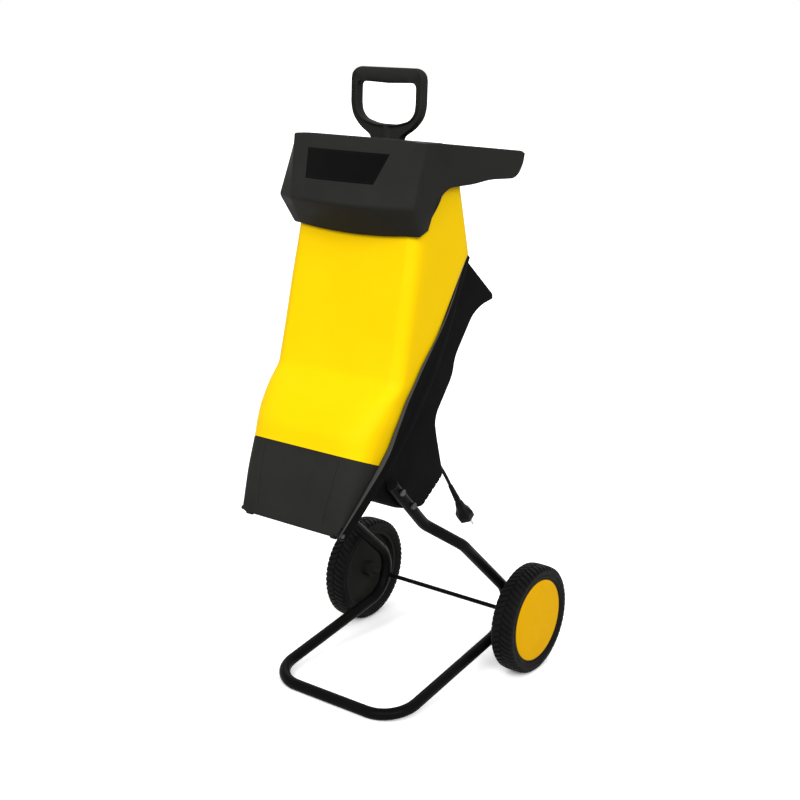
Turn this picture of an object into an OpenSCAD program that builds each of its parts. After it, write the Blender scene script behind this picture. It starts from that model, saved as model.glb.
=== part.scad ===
// Electric garden shredder on a wheeled tube frame, in millimetres, standing on the floor
// Origin on the floor under the middle of the machine, +Z up, front towards -Y

/* [Chassis] */
// Outside diameter of the wheels
wheel_d = 200; // [190:1:215]
// Width of a tyre
tyre_w = 44; // [38:1:50]
// Diameter of the coloured cap in each wheel
cap_d = 150; // [136:1:156]
// Length of the spacer between a leg and its wheel
spacer_l = 19.4; // [15:0.2:30]
// Diameter of the axle rod
axle_d = 8; // [7:0.5:10]
// Outside diameter of the frame tube
tube_d = 20; // [18:0.5:22]
// Wall of the frame tube
tube_wall = 1.6; // [1.2:0.1:2.4]
// Distance between the two legs, tube middle to tube middle
leg_gauge = 276; // [268:1:284]
// Distance from the axle forward to the floor bar
foot_reach = 337; // [310:1:360]
// Rise of the rear legs above the level, in degrees
leg_rise = 40.6; // [38:0.2:43]
// Bend radius of the tube round the axle
bend_r = 56; // [48:1:64]
// Bend radius of the tube at the corners of the floor bar
foot_bend_r = 60; // [40:1:80]

/* [Cutting unit] */
// Lean of the parting plane from the vertical, in degrees
plane_lean = 37; // [35:0.5:39]
// Height of the cutter disc's middle over the floor
cut_height = 501; // [490:1:515]
// Distance of the cutter disc's middle in front of the axle
cut_forward = 345; // [338:1:352]
// Diameter of the cutter disc
disc_d = 170; // [155:1:174]
// Thickness of the cutter disc
disc_t = 5; // [4:0.5:7]
// Length of a blade along the radius
blade_l = 54; // [44:1:58]
// Width of a blade
blade_w = 28; // [22:1:32]
// Thickness of a blade
blade_t = 4; // [3:0.5:5]
// Diameter of the motor shaft
shaft_d = 12; // [10:0.5:14]
// Outside diameter of the motor can
can_d = 96; // [90:1:99]
// Length of the motor can
can_l = 137; // [132:1:140]

/* [Rear shell] */
// Width of the rear shell at the rim
shell_w = 198; // [194:1:202]
// Width of the rear shell at the end of the motor bulge
shell_back_w = 182; // [174:1:188]
// Wall of the rear shell
shell_wall = 3.5; // [2.5:0.5:4]
// Thickness of the rim along the parting line
rim_t = 20; // [16:0.5:21]
// Width of the rim's edge beside the feed housing
rim_edge = 6; // [4:0.5:7]
// Length of the seam above the disc's middle
seam_up = 347; // [337:1:354]
// Length of the seam below the disc's middle
seam_down = 174; // [170:1:178]
// Reach of the rain lip behind the seam
lip_reach = 150; // [140:1:160]
// Depth of the shell at the knob
knob_wall_t = 117; // [112:1:120]
// Depth of the shell at the switch
switch_wall_t = 132; // [128:1:136]
// Depth of the motor bulge
bulge_t = 228; // [222:1:236]

/* [Feed housing] */
// Width of the column under the hood
column_top_w = 238; // [232:1:242]
// Width of the column at the top of the seam
column_w = 252; // [246:1:256]
// Width of the housing at the shoulder
shoulder_w = 260; // [254:1:266]
// Width of the housing round the disc
belly_w = 254; // [248:1:262]
// Width of the housing at the line between cover and panel
split_w = 242; // [236:1:250]
// Width of the front panel at its foot
foot_w = 200; // [196:1:206]
// Height of the column's upper end
collar_z = 905; // [898:1:910]
// Height of the shoulder
shoulder_z = 590; // [582:1:596]
// Height of the belly
belly_z = 533; // [526:1:540]
// Height of the line between cover and panel
split_z = 484; // [478:1:490]
// Distance of the column's upper end in front of the axle
front_top = 280; // [274:1:284]
// Distance of the shoulder in front of the axle
front_shoulder = 344; // [338:1:348]
// Distance of the belly in front of the axle
front_belly = 399; // [390:1:406]
// Distance of the line between cover and panel in front of the axle
front_split = 425; // [418:1:431]
// Distance of the panel's foot in front of the axle
front_foot = 456; // [454:1:464]
// Distance of the column's back in front of the axle, at its upper end
column_back = 165; // [160:1:170]
// Wall of the housing
housing_wall = 3.5; // [2.5:0.5:4]

/* [Hood] */
// Height of the hood's front edge
hood_top_z = 967; // [962:1:974]
// Height of the hood's forward edge
hood_mid_z = 866; // [858:1:874]
// Height of the hood's lower edge
hood_foot_z = 815; // [808:1:822]
// Distance of the hood's forward edge in front of the axle
hood_reach = 356; // [346:1:366]
// Width of the hood at its widest
hood_w = 271; // [266:1:278]
// Thickness of a handle arm
arm_t = 13; // [10:0.5:16]
// Diameter of the handle grip
grip_d = 28; // [25:0.5:32]
// Width of the feed throat
throat_w = 146; // [130:1:160]
// Depth of the feed throat from front to back
throat_d = 70; // [60:1:76]

/* [Pusher] */
// Length of the pusher below its collar
pusher_l = 215; // [180:1:225]
// Play of the pusher in the throat, on each side
pusher_play = 3; // [2:0.5:5]
// Outside width of the D-handle
dee_w = 142; // [130:1:150]
// Height of the D-handle over the pusher's collar
dee_h = 116.6; // [106:0.2:128]
// Thickness of the D-handle from front to back
dee_t = 18; // [15:0.5:22]

/* [Controls and cord] */
// Diameter of the locking knob
knob_d = 54; // [46:1:58]
// Diameter of the locking screw
lock_d = 10; // [8:0.5:12]
// Diameter of the start button
start_d = 16; // [12:0.5:18]
// Diameter of the stop button
stop_d = 22; // [18:0.5:24]
// Diameter of the reset button
reset_d = 9; // [7:0.5:10]
// Diameter of the mains cord
cord_d = 6.5; // [5.5:0.5:9]
// Length of the plug without its pins
plug_l = 98; // [85:1:110]
// Diameter of the plug's head
plug_d = 34; // [32:0.5:38]

/* [Hidden] */
$fn = 64;
// Clearances
run_gap = 0.4;
fit_gap = 0.06;
seat_gap = 0.2;
button_gap = 0.35;
// Colours
c_yellow = [0.98, 0.80, 0.05];
c_black = [0.11, 0.11, 0.11];
c_dark = [0.17, 0.17, 0.18];
c_rubber = [0.06, 0.06, 0.06];
c_steel = [0.62, 0.63, 0.65];
c_tube = [0.20, 0.20, 0.21];
c_copper = [0.72, 0.40, 0.20];
c_brass = [0.80, 0.66, 0.32];
c_carbon = [0.12, 0.12, 0.13];
c_green = [0.05, 0.50, 0.18];
c_red = [0.80, 0.06, 0.05];
c_plate = [0.74, 0.75, 0.76];
// The axle's place, so that the origin is under the middle
axle_y = (front_foot - wheel_d / 2) / 2;
axle_z = wheel_d / 2;
// Distance between the middles of the two wheels
wheel_track = leg_gauge + tube_d + tyre_w + 2 * (spacer_l + seat_gap + run_gap);
// Rounding of the column's rear corners
column_round = 18;
// Heights along the seam
function seam_y(z) = (z - cut_height) * tan(plane_lean) - cut_forward;
function seam_z(s) = cut_height + s * cos(plane_lean);
function seam_s(z) = (z - cut_height) / cos(plane_lean);
// A point of the plane frame, s up the seam and t behind it, as [y, z]
function off_seam(s, t) = [
    s * sin(plane_lean) + t * cos(plane_lean) - cut_forward,
    cut_height + s * cos(plane_lean) - t * sin(plane_lean)];
seam_top_z = seam_z(seam_up);
foot_z = seam_z(-seam_down);

// Places

module at_axle() {
    translate([0, axle_y, 0]) children();
}

// The plane frame: y runs up the seam, z points to the front
module in_plane() {
    at_axle() translate([0, -cut_forward, cut_height]) rotate([90 - plane_lean, 0, 0]) children();
}

module both() {
    children();
    mirror([1, 0, 0]) children();
}

// An outline [x, s] between two depths behind the seam
module behind(t0, t1) {
    translate([0, 0, -t1]) linear_extrude(t1 - t0) children();
}

// An outline of the side view, w wide
module across(w) {
    rotate([90, 0, 90]) linear_extrude(w, center = true) children();
}

module rod_x(d, x0, x1) {
    translate([x0, 0, 0]) rotate([0, 90, 0]) cylinder(d = d, h = x1 - x0);
}

// A round rod along the motor's axis
module rod_t(d, t0, t1) {
    translate([0, 0, -t1]) cylinder(d = d, h = t1 - t0);
}

module ring_t(d, bore, t0, t1) {
    behind(t0, t1) difference() {
        circle(d = d);
        circle(d = bore);
    }
}

// Outlines

// A closed outline moved inwards by w, its points listed counterclockwise
function inset(p, w) = let (n = len(p)) [
    for (i = [0 : n - 1])
        let (
            a = side_normal(p[(i + n - 1) % n], p[i]),
            b = side_normal(p[i], p[(i + 1) % n]))
        p[i] + (a + b) * w / (1 + a * b)];
function side_normal(p, q) = let (d = (q - p) / norm(q - p)) [-d[1], d[0]];

// A half outline [x, s] with its mirror image
function mirrored(p) = concat(p, [for (i = [len(p) - 1 : -1 : 0]) [-p[i][0], p[i][1]]]);

// Rings of equal point counts, listed from the top down, joined to one skin
module loft(rings) {
    n = len(rings[0]);
    m = len(rings);
    polyhedron(
        points = [for (r = rings) each r],
        faces = concat(
            [for (k = [0 : m - 2], i = [0 : n - 1]) let (j = (i + 1) % n)
                [k * n + i, k * n + n + j, k * n + j]],
            [for (k = [0 : m - 2], i = [0 : n - 1]) let (j = (i + 1) % n)
                [k * n + i, k * n + n + i, k * n + n + j]],
            [[for (i = [0 : n - 1]) i]],
            [[for (i = [n - 1 : -1 : 0]) (m - 1) * n + i]]));
}

// Tube frame

function leg_corner(drop) = let (
    half = (leg_rise + drop) / 2,
    tilt = (leg_rise - drop) / 2,
    reach = bend_r * (1 / sin(half) - 1))
    [reach * cos(tilt), axle_z - reach * sin(tilt)];
function find_drop(drop, n) = n == 0 ? drop : let (c = leg_corner(drop))
    find_drop(atan((c[1] - tube_d / 2) / (c[0] + foot_reach)), n - 1);
leg_drop = find_drop(9, 12);
corner = leg_corner(leg_drop);
leg_x = leg_gauge / 2;
root_x = shell_w / 2 + tube_d / 2;
// Where the leg lies along the shell, in the plane frame
root_at = [-54, 70];
knee_at = [-71, 198];
splay_l = 294;
knee_r = 60;
root_yz = off_seam(root_at[0], root_at[1]);
knee_yz = off_seam(knee_at[0], knee_at[1]);
right_leg = [
    [root_x, root_yz[0], root_yz[1]],
    [root_x, knee_yz[0], knee_yz[1]],
    [leg_x, corner[0] - splay_l * cos(leg_rise), corner[1] + splay_l * sin(leg_rise)],
    [leg_x, corner[0], corner[1]],
    [leg_x, -foot_reach, tube_d / 2]];
left_leg = [for (i = [len(right_leg) - 1 : -1 : 0]) let (p = right_leg[i]) [-p[0], p[1], p[2]]];
tube_path = concat(right_leg, left_leg);
leg_r = [0, knee_r, knee_r, bend_r, foot_bend_r];
tube_r = concat(leg_r, [for (i = [len(leg_r) - 1 : -1 : 0]) leg_r[i]]);
bolt_t = [86, 130];
bolt_d = 6;
function bolt_s(t) = root_at[0] + (knee_at[0] - root_at[0]) * (t - root_at[1]) / (knee_at[1] - root_at[1]);

function heading(p, i) = (p[i + 1] - p[i]) / norm(p[i + 1] - p[i]);
function turn(p, i) = acos(heading(p, i - 1) * heading(p, i));
function setback(p, r, i) = i == 0 || i == len(p) - 1 ? 0 : r[i] * tan(turn(p, i) / 2);
function across_to(v) = let (w = abs(v[0]) < 0.7 ? cross(v, [1, 0, 0]) : cross(v, [0, 1, 0])) w / norm(w);
function axes(x, y, z, o) = [
    [x[0], y[0], z[0], o[0]],
    [x[1], y[1], z[1], o[1]],
    [x[2], y[2], z[2], o[2]],
    [0, 0, 0, 1]];

module wall_of(d, wall) {
    difference() {
        circle(d = d);
        circle(d = d - 2 * wall);
    }
}

// The straights run a little way into bends that are a hair thicker, so that they join to one solid
bend_skin = 0.1;
bend_lap = 0.5;

module bent_tube(p, r, d, wall) {
    for (i = [0 : len(p) - 2]) {
        v = heading(p, i);
        a = across_to(v);
        lead = i == 0 ? 0 : setback(p, r, i) - bend_lap;
        tail = i == len(p) - 2 ? 0 : setback(p, r, i + 1) - bend_lap;
        multmatrix(axes(a, cross(v, a), v, p[i] + v * lead))
            linear_extrude(norm(p[i + 1] - p[i]) - lead - tail) wall_of(d, wall);
    }
    for (i = [1 : len(p) - 2]) {
        u = heading(p, i - 1);
        v = heading(p, i);
        inward = (v - u * (u * v)) / sin(turn(p, i));
        multmatrix(axes(-inward, u, cross(-inward, u), p[i] - u * setback(p, r, i) + inward * r[i]))
            rotate_extrude(angle = turn(p, i))
                translate([r[i], 0]) wall_of(d + 2 * bend_skin, wall + 2 * bend_skin);
    }
}

module leg_bolt_places() {
    for (t = bolt_t) {
        translate([0, bolt_s(t), -t]) children();
    }
}

module frame_tube() {
    color(c_tube) difference() {
        at_axle() bent_tube(tube_path, tube_r, tube_d, tube_wall);
        at_axle() translate([0, 0, axle_z]) rod_x(axle_d + 2 * seat_gap, -leg_gauge, leg_gauge);
        both() in_plane() leg_bolt_places() rod_x(bolt_d + 2 * seat_gap, root_x - tube_d, root_x + tube_d);
    }
}

cap_lid = 4;
cap_plug = 12;

module tube_caps() {
    v = heading(right_leg, 0);
    a = across_to(v);
    color(c_black) at_axle() both() multmatrix(axes(a, cross(v, a), v, right_leg[0])) {
        translate([0, 0, -cap_lid]) cylinder(d = tube_d, h = cap_lid);
        cylinder(d = tube_d - 2 * tube_wall - 2 * seat_gap, h = cap_plug);
    }
}

bolt_head_d = 12;
bolt_head_h = 4;
boss_in = 12;

module leg_bolts() {
    color(c_steel) both() in_plane() leg_bolt_places() {
        rod_x(bolt_d, root_x - tube_d / 2 - boss_in, root_x + tube_d / 2);
        rod_x(bolt_head_d, root_x + tube_d / 2, root_x + tube_d / 2 + bolt_head_h);
    }
}

// Wheels

rim_x = tyre_w / 2 - 4;
tyre_in_r = cap_d / 2 + 3;
rim_in_r = cap_d / 2 - 3;
boss_r = 15;
hub_out = rim_x - 8;
nut_h = 6.5;
nut_d = 15;

module axle_rod() {
    color(c_steel) at_axle() translate([0, 0, axle_z])
        rod_x(axle_d, -wheel_track / 2 - hub_out - nut_h, wheel_track / 2 + hub_out + nut_h);
}

module axle_spacers() {
    color(c_black) at_axle() translate([0, 0, axle_z]) both() difference() {
        rod_x(axle_d + 7, leg_x + tube_d / 2 + seat_gap, leg_x + tube_d / 2 + seat_gap + spacer_l);
        rod_x(axle_d + 2 * seat_gap, leg_x, wheel_track / 2);
    }
}

module axle_nuts() {
    color(c_steel) at_axle() for (turn = [0, 180]) {
        rotate([0, 0, turn]) translate([wheel_track / 2 + hub_out + run_gap, 0, axle_z]) axle_nut();
    }
}

module axle_nut() {
    rotate([0, 90, 0]) difference() {
        cylinder(d = nut_d, h = nut_h, $fn = 6);
        translate([0, 0, -1]) cylinder(d = axle_d, h = nut_h + 2);
    }
}

// A turned shape on the right wheel, drawn as [radius, outward]
module on_wheel() {
    at_axle() translate([wheel_track / 2, 0, axle_z]) rotate([0, 90, 0]) rotate_extrude() children();
}

module tyre_shape() {
    r = wheel_d / 2;
    h = tyre_w / 2;
    polygon([
        [tyre_in_r, -rim_x], [tyre_in_r + 4, -h + 1.5], [r - 7, -h], [r - 2, -h + 3], [r, -h + 10],
        [r, h - 10], [r - 2, h - 3], [r - 7, h], [tyre_in_r + 4, h - 1.5], [tyre_in_r, rim_x]]);
}

module hub_shape() {
    bore = axle_d / 2 + fit_gap;
    polygon([
        [bore, -tyre_w / 2], [boss_r, -tyre_w / 2], [boss_r, -4], [rim_in_r, -4], [rim_in_r, -rim_x],
        [tyre_in_r, -rim_x], [tyre_in_r, rim_x], [rim_in_r, rim_x], [rim_in_r, 2], [boss_r, 2],
        [boss_r, hub_out], [bore, hub_out]]);
}

module cap_shape() {
    r = cap_d / 2;
    polygon([
        [0, rim_x + 0.4], [rim_in_r - 6, rim_x + 0.4], [rim_in_r - 6, rim_x - 3], [rim_in_r - 0.5, rim_x - 3],
        [rim_in_r - 0.5, rim_x], [r, rim_x], [r, rim_x + 1], [r - 7, rim_x + 2.8], [r / 2, rim_x + 3.7],
        [0, rim_x + 4]]);
}

module tyre_right() {
    color(c_rubber) on_wheel() tyre_shape();
}

module tyre_left() {
    mirror([1, 0, 0]) tyre_right();
}

module hub_right() {
    color(c_black) on_wheel() hub_shape();
}

module hub_left() {
    mirror([1, 0, 0]) hub_right();
}

module cap_right() {
    color(c_yellow) on_wheel() cap_shape();
}

module cap_left() {
    mirror([1, 0, 0]) cap_right();
}

// Rear shell

switch_top_s = 178;
switch_foot_s = 86;
floor_s = 95;
neck = [[78, 146], [68, 164], [55, 187]];
bulge_top_s = 30;
bulge_foot_s = -42;
bulge_foot_t = bulge_t - 24;
keel = [[-72, 137], [-88, 62]];
// The shell from the side as [s, t], open at the front depth
function shell_line(front) = concat(
    [[seam_up, front], [seam_up, lip_reach - 8], [seam_up - 8, lip_reach], [seam_up - 34, lip_reach - 24],
     [seam_up - 52, knob_wall_t + 3], [seam_up - 66, knob_wall_t], [switch_top_s + 27, knob_wall_t],
     [switch_top_s, switch_wall_t], [switch_foot_s, switch_wall_t]],
    neck,
    [[bulge_top_s, bulge_t], [bulge_foot_s, bulge_foot_t]],
    keel,
    [[-floor_s, 20], [-floor_s, front]]);
function drawn(p) = [for (q = p) [q[0], -q[1]]];
function flank(t) = shell_w / 2 - (shell_w - shell_back_w) / 2 * t / bulge_t;

module shell_body(w, front) {
    intersection() {
        across(2 * shell_w) polygon(drawn(inset(shell_line(front), w)));
        rotate([90, 0, 0]) linear_extrude(4 * seam_up, center = true) polygon([
            [-flank(front) + w, -front], [flank(front) - w, -front],
            [flank(bulge_t + 20) - w, -bulge_t - 20], [-flank(bulge_t + 20) + w, -bulge_t - 20]]);
    }
}

// The rim's outline follows the feed housing
rim_half = [
    [column_w / 2 - column_round, seam_up],
    [shoulder_w / 2 + rim_edge, seam_s(shoulder_z)],
    [belly_w / 2 + rim_edge, seam_s(belly_z)],
    [split_w / 2 + rim_edge, seam_s(split_z)],
    [foot_w / 2 + rim_edge, -seam_down]];

// The way out for chips, below the disc and between the rim's lower arms
arm_w = 16;
exit_top_s = -86;
plate_t0 = 22;
plate_t = 6;
plate_t1 = plate_t0 + plate_t;
mouth_x = shell_w / 2 - shell_wall - 4;

module chip_exit() {
    polygon(mirrored([[mouth_x - 8, exit_top_s], [foot_w / 2 - arm_w, -seam_down - 1]]));
}

// Hinge of the feed housing
hinge_s = 4 - seam_down;
hinge_t = 3;
hinge_r = 8;
hinge_d = 7;
lug_x0 = foot_w / 2 - 7;
lug_x1 = foot_w / 2 + rim_edge;
lug_in = 8.5;

module hinge_place() {
    translate([0, hinge_s, -hinge_t]) children();
}

// Room between the shell's lugs for the panel's knuckles
module hinge_notch() {
    polygon(mirrored([[lug_x0 - run_gap, hinge_s + hinge_r + 3], [lug_x0 - run_gap, -2 * seam_down]]));
}

// Slots across the underside of the bulge, wrapping round its edges
vent_w = 5;
vent_pitch = 12;
vent_count = 5;
vent_start = 10;
vent_depth = 14;
vent_out = 6;
vent_wrap = 24;
vent_mid_w = 96;

module vents() {
    fall = [bulge_foot_s - keel[0][0], bulge_foot_t - keel[0][1]];
    for (i = [0 : vent_count - 1]) {
        f = (vent_start + i * vent_pitch) / norm(fall);
        t = bulge_foot_t - f * fall[1];
        translate([0, bulge_foot_s - f * fall[0], -t]) rotate([-atan2(fall[1], fall[0]), 0, 0])
            translate([0, -vent_w / 2, -vent_out]) {
            both() translate([flank(t) - vent_wrap, 0, 0]) cube([vent_wrap + vent_out, vent_w, vent_depth]);
            translate([-vent_mid_w / 2, 0, 0]) cube([vent_mid_w, vent_w, vent_depth]);
        }
    }
}

// Blocks that carry the chamber plate
ledge_at = [[82, -58], [82, 96]];
ledge_l = 18;
plate_screw_d = 5;

module ledges() {
    both() for (p = ledge_at) {
        translate([p[0] - 7, p[1] - 8, -plate_t1 - ledge_l]) cube([flank(plate_t1) - p[0] + 5, 16, ledge_l]);
    }
}

leg_boss_d = 18;
lock_s = 243;
switch_s = 139;
switch_box = [56, 58, 36];
gland_s = 96;
gland_hole_d = 12;

module rear_shell() {
    color(c_black) in_plane() difference() {
        union() {
            difference() {
                union() {
                    behind(run_gap, rim_t) polygon(mirrored(rim_half));
                    shell_body(0, run_gap);
                }
                shell_body(shell_wall, -20);
                behind(-1, plate_t0) chip_exit();
                behind(-1, rim_t + 1) hinge_notch();
                vents();
            }
            ledges();
            both() leg_bolt_places()
                rod_x(leg_boss_d, flank(bulge_t) - shell_wall - 5, root_x - tube_d / 2 - seat_gap);
            both() hinge_place() rod_x(2 * hinge_r, lug_x0, lug_x1);
            both() translate([lug_x0, hinge_s, -rim_t]) cube([lug_x1 - lug_x0, 2 * hinge_r, rim_t - run_gap]);
        }
        both() leg_bolt_places() rod_x(bolt_d + 2 * seat_gap, 0, root_x);
        both() hinge_place() rod_x(hinge_d, 0, foot_w);
        both() for (p = ledge_at) {
            translate([p[0], p[1], 0]) rod_t(plate_screw_d, plate_t1 - 1, plate_t1 + ledge_l - 3);
        }
        translate([0, lock_s, 0]) rod_t(lock_d + 1, knob_wall_t - 20, knob_wall_t + 10);
        translate([-switch_box[0] / 2 - 1, switch_s - switch_box[1] / 2 - 1, -switch_wall_t - 1])
            cube([switch_box[0] + 2, switch_box[1] + 2, 20]);
        translate([0, gland_s, 0]) rod_t(gland_hole_d, switch_wall_t - 20, switch_wall_t + 10);
    }
}

module hinge_pins() {
    color(c_steel) in_plane() both() hinge_place() rod_x(hinge_d, lug_x0 - run_gap - lug_in, lug_x1 + 0.5);
}

// Chamber plate and motor

bearing_d = 32;
bearing_w = 10;
seat_l = 14;
stack_t0 = plate_t1 + 42;
stack_t1 = stack_t0 + 55;
can_t1 = plate_t1 + can_l;
bracket_t = 5;
rear_bearing_d = 28;
rear_bearing_w = 8;
rear_bearing_t = can_t1 + bracket_t + 1;
can_wall = 2.5;

module chamber_plate() {
    half = flank(plate_t1) - shell_wall - run_gap;
    color(c_steel) in_plane() difference() {
        union() {
            behind(plate_t0, plate_t1) polygon(mirrored([[half, 112], [half, 6 - floor_s]]));
            rod_t(bearing_d + 12, plate_t1, plate_t1 + seat_l);
        }
        rod_t(shaft_d + 5, plate_t0 - 1, plate_t1 + seat_l + 1);
        rod_t(bearing_d, plate_t1 + seat_l - bearing_w - 2, plate_t1 + seat_l + 1);
        both() for (p = ledge_at) {
            translate([p[0], p[1], 0]) rod_t(plate_screw_d + 2 * seat_gap, plate_t0 - 1, plate_t1 + 1);
        }
    }
}

module plate_screws() {
    color(c_steel) in_plane() both() for (p = ledge_at) {
        translate([p[0], p[1], 0]) {
            rod_t(plate_screw_d, plate_t0, plate_t1 + ledge_l - 4);
            rod_t(2 * plate_screw_d, plate_t0 - 3, plate_t0);
        }
    }
}

module front_bearing() {
    color(c_steel) in_plane()
        ring_t(bearing_d, shaft_d + 2 * fit_gap, plate_t1 + seat_l - bearing_w - 2, plate_t1 + seat_l - 2);
}

module rear_bearing() {
    color(c_steel) in_plane()
        ring_t(rear_bearing_d, shaft_d + 2 * fit_gap, rear_bearing_t, rear_bearing_t + rear_bearing_w);
}

module motor_can() {
    color(c_steel) in_plane() difference() {
        ring_t(can_d, can_d - 2 * can_wall, plate_t1, can_t1);
        for (k = [0 : 7]) {
            rotate([0, 0, 22.5 + 45 * k]) translate([0, -7, -plate_t1 - 30]) cube([can_d, 14, 16]);
            rotate([0, 0, 22.5 + 45 * k]) translate([0, -5, -can_t1 + 8]) cube([can_d, 10, 12]);
        }
    }
}

module motor_bracket() {
    color(c_steel) in_plane() difference() {
        union() {
            rod_t(can_d, can_t1, can_t1 + bracket_t);
            rod_t(rear_bearing_d + 8, can_t1 + bracket_t, can_t1 + bracket_t + rear_bearing_w + 3);
        }
        rod_t(shaft_d + 4, can_t1 - 1, can_t1 + bracket_t + 2);
        rod_t(rear_bearing_d, can_t1 + bracket_t + 1, can_t1 + bracket_t + rear_bearing_w + 4);
        for (k = [0 : 5]) {
            rotate([0, 0, 60 * k]) translate([can_d / 2 - 14, 0, 0])
                rod_t(12, can_t1 - 1, can_t1 + bracket_t + 1);
        }
    }
}

pole_r = shaft_d / 2 + 21;
yoke_r = can_d / 2 - can_wall;
yoke_in_r = yoke_r - 8;
pole_half = 36;
coil_half = 88 - pole_half;

// A ring sector between two depths
module sector_t(r0, r1, a0, a1, t0, t1) {
    translate([0, 0, -t1]) rotate([0, 0, a0]) rotate_extrude(angle = a1 - a0)
        translate([r0, 0]) square([r1 - r0, t1 - t0]);
}

module stator_core() {
    reach = 2 * yoke_r * [cos(pole_half), sin(pole_half)];
    color(c_steel) in_plane() behind(stack_t0, stack_t1) difference() {
        circle(r = yoke_r);
        difference() {
            circle(r = yoke_in_r);
            polygon([[0, 0], [reach[0], -reach[1]], reach]);
            polygon([[0, 0], [-reach[0], reach[1]], -reach]);
        }
        circle(r = pole_r);
    }
}

module field_coils() {
    color(c_copper) in_plane() for (a = [90, 270]) {
        sector_t(pole_r + 1, yoke_in_r - seat_gap, a - coil_half, a + coil_half, stack_t0 - 8, stack_t1 + 8);
    }
}

armature_r = pole_r - 1.2;
commutator_r = shaft_d / 2 + 9.5;
commutator_t = [stack_t1 + 17, stack_t1 + 33];

module motor_shaft() {
    color(c_steel) in_plane() {
        rod_t(shaft_d, disc_t0, can_t1 + bracket_t + rear_bearing_w + 2);
        rod_t(2.5 * shaft_d, disc_t0 + disc_t, plate_t0 - 2);
    }
}

module armature() {
    color(c_steel) in_plane() ring_t(2 * armature_r, shaft_d, stack_t0, stack_t1);
}

module armature_windings() {
    color(c_copper) in_plane() {
        ring_t(2 * armature_r - 6, shaft_d, stack_t0 - 10, stack_t0);
        ring_t(2 * armature_r - 6, shaft_d, stack_t1, stack_t1 + 11);
    }
}

module commutator() {
    color(c_brass) in_plane() ring_t(2 * commutator_r, shaft_d, commutator_t[0], commutator_t[1]);
}

fan_t0 = plate_t1 + seat_l + 2;
fan_r = can_d / 2 - can_wall - 5;

module cooling_fan() {
    color(c_dark) in_plane() {
        ring_t(2 * fan_r, shaft_d, fan_t0 + 9, fan_t0 + 11);
        ring_t(shaft_d + 10, shaft_d, fan_t0, fan_t0 + 9);
        for (k = [0 : 8]) {
            rotate([0, 0, 40 * k]) translate([shaft_d / 2 + 4, -1, -fan_t0 - 9])
                cube([fan_r - shaft_d / 2 - 5, 2, 8.5]);
        }
    }
}

brush = [20, 9.6, 10];

module brush_holders() {
    color(c_black) in_plane() both() difference() {
        translate([commutator_r + 3, -9, -can_t1])
            cube([yoke_r - commutator_r - 4, 18, can_t1 - commutator_t[0] + 1]);
        translate([0, -brush[1] / 2 - seat_gap, -commutator_t[0] - 3 - brush[2] - seat_gap])
            cube([can_d, brush[1] + 2 * seat_gap, brush[2] + 2 * seat_gap]);
    }
}

module carbon_brushes() {
    color(c_carbon) in_plane() both()
        translate([commutator_r + run_gap, -brush[1] / 2, -commutator_t[0] - 3 - brush[2]]) cube(brush);
}

module suppressor() {
    color(c_dark) in_plane() translate([62, 72, 0]) rod_t(22, plate_t1, plate_t1 + 40);
}

// Cutter disc

blade_t0 = 0.8;
disc_t0 = blade_t0 + blade_t;
blade_r0 = disc_d / 2 - 5 - blade_l;
blade_screw_d = 6;
bevel = 35;
vane_h = 8;

module blade_places() {
    for (a = [0, 180]) {
        rotate([0, 0, a]) children();
    }
}

module blade_screw_places() {
    blade_places() for (f = [0.25, 0.75]) {
        translate([blade_r0 + f * blade_l, -2, 0]) children();
    }
}

module cutter_disc() {
    color(c_steel) in_plane() difference() {
        union() {
            rod_t(disc_d, disc_t0, disc_t0 + disc_t);
            for (a = [45, 135, 225, 315]) {
                rotate([0, 0, a]) translate([2 * shaft_d, -2, -disc_t0 - disc_t - vane_h])
                    cube([disc_d / 2 - 3 - 2 * shaft_d, 4, vane_h + 0.5]);
            }
        }
        rod_t(shaft_d, disc_t0 - 1, disc_t0 + disc_t + 1);
        blade_places() translate([blade_r0, blade_w / 2 - 4, -disc_t0 - disc_t - 1])
            cube([blade_l, 14, disc_t + 2]);
        blade_screw_places() rod_t(blade_screw_d, disc_t0 - 1, disc_t0 + disc_t + 1);
    }
}

module cutter_blades() {
    color(c_plate) in_plane() blade_places() difference() {
        translate([blade_r0, -blade_w / 2, -disc_t0]) cube([blade_l, blade_w, blade_t]);
        translate([0, blade_w / 2, -blade_t0]) rotate([-bevel, 0, 0])
            translate([0, 0, -40]) cube([disc_d, 20, 60]);
        for (f = [0.25, 0.75]) {
            translate([blade_r0 + f * blade_l, -2, 0]) rod_t(blade_screw_d, blade_t0 - 1, disc_t0 + 1);
        }
    }
}

module blade_screws() {
    color(c_steel) in_plane() blade_screw_places() rod_t(blade_screw_d, blade_t0, disc_t0 + disc_t + 2);
}

clamp_d = 2 * shaft_d + 16;
disc_bolt_d = 17;

module disc_clamp() {
    color(c_steel) in_plane() rod_t(min(clamp_d, 2 * blade_r0 - 2), blade_t0, disc_t0);
}

module disc_bolt() {
    color(c_steel) in_plane() translate([0, 0, -blade_t0]) cylinder(d = disc_bolt_d, h = 6.5, $fn = 6);
}

// Feed housing

skin_steps = 24;
function bow(v, e) = sign(v) * pow(abs(v), e);
// One level of the skin: half width, back, front, squareness in front and rounding at the back
function skin_ring(z, half, back, front, square, round) = concat(
    [[half - round, back, z], [half - 0.29 * round, back - 0.29 * round, z]],
    [for (i = [0 : skin_steps]) let (a = 180 * i / skin_steps)
        [half * bow(cos(a), 2 / square), back - round - (back - round - front) * bow(sin(a), 2 / square), z]],
    [[0.29 * round - half, back - 0.29 * round, z], [round - half, back, z]]);
function mix(a, b, f) = a + (b - a) * f;
mid_f = (collar_z - seam_top_z) / (collar_z - shoulder_z);
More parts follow.
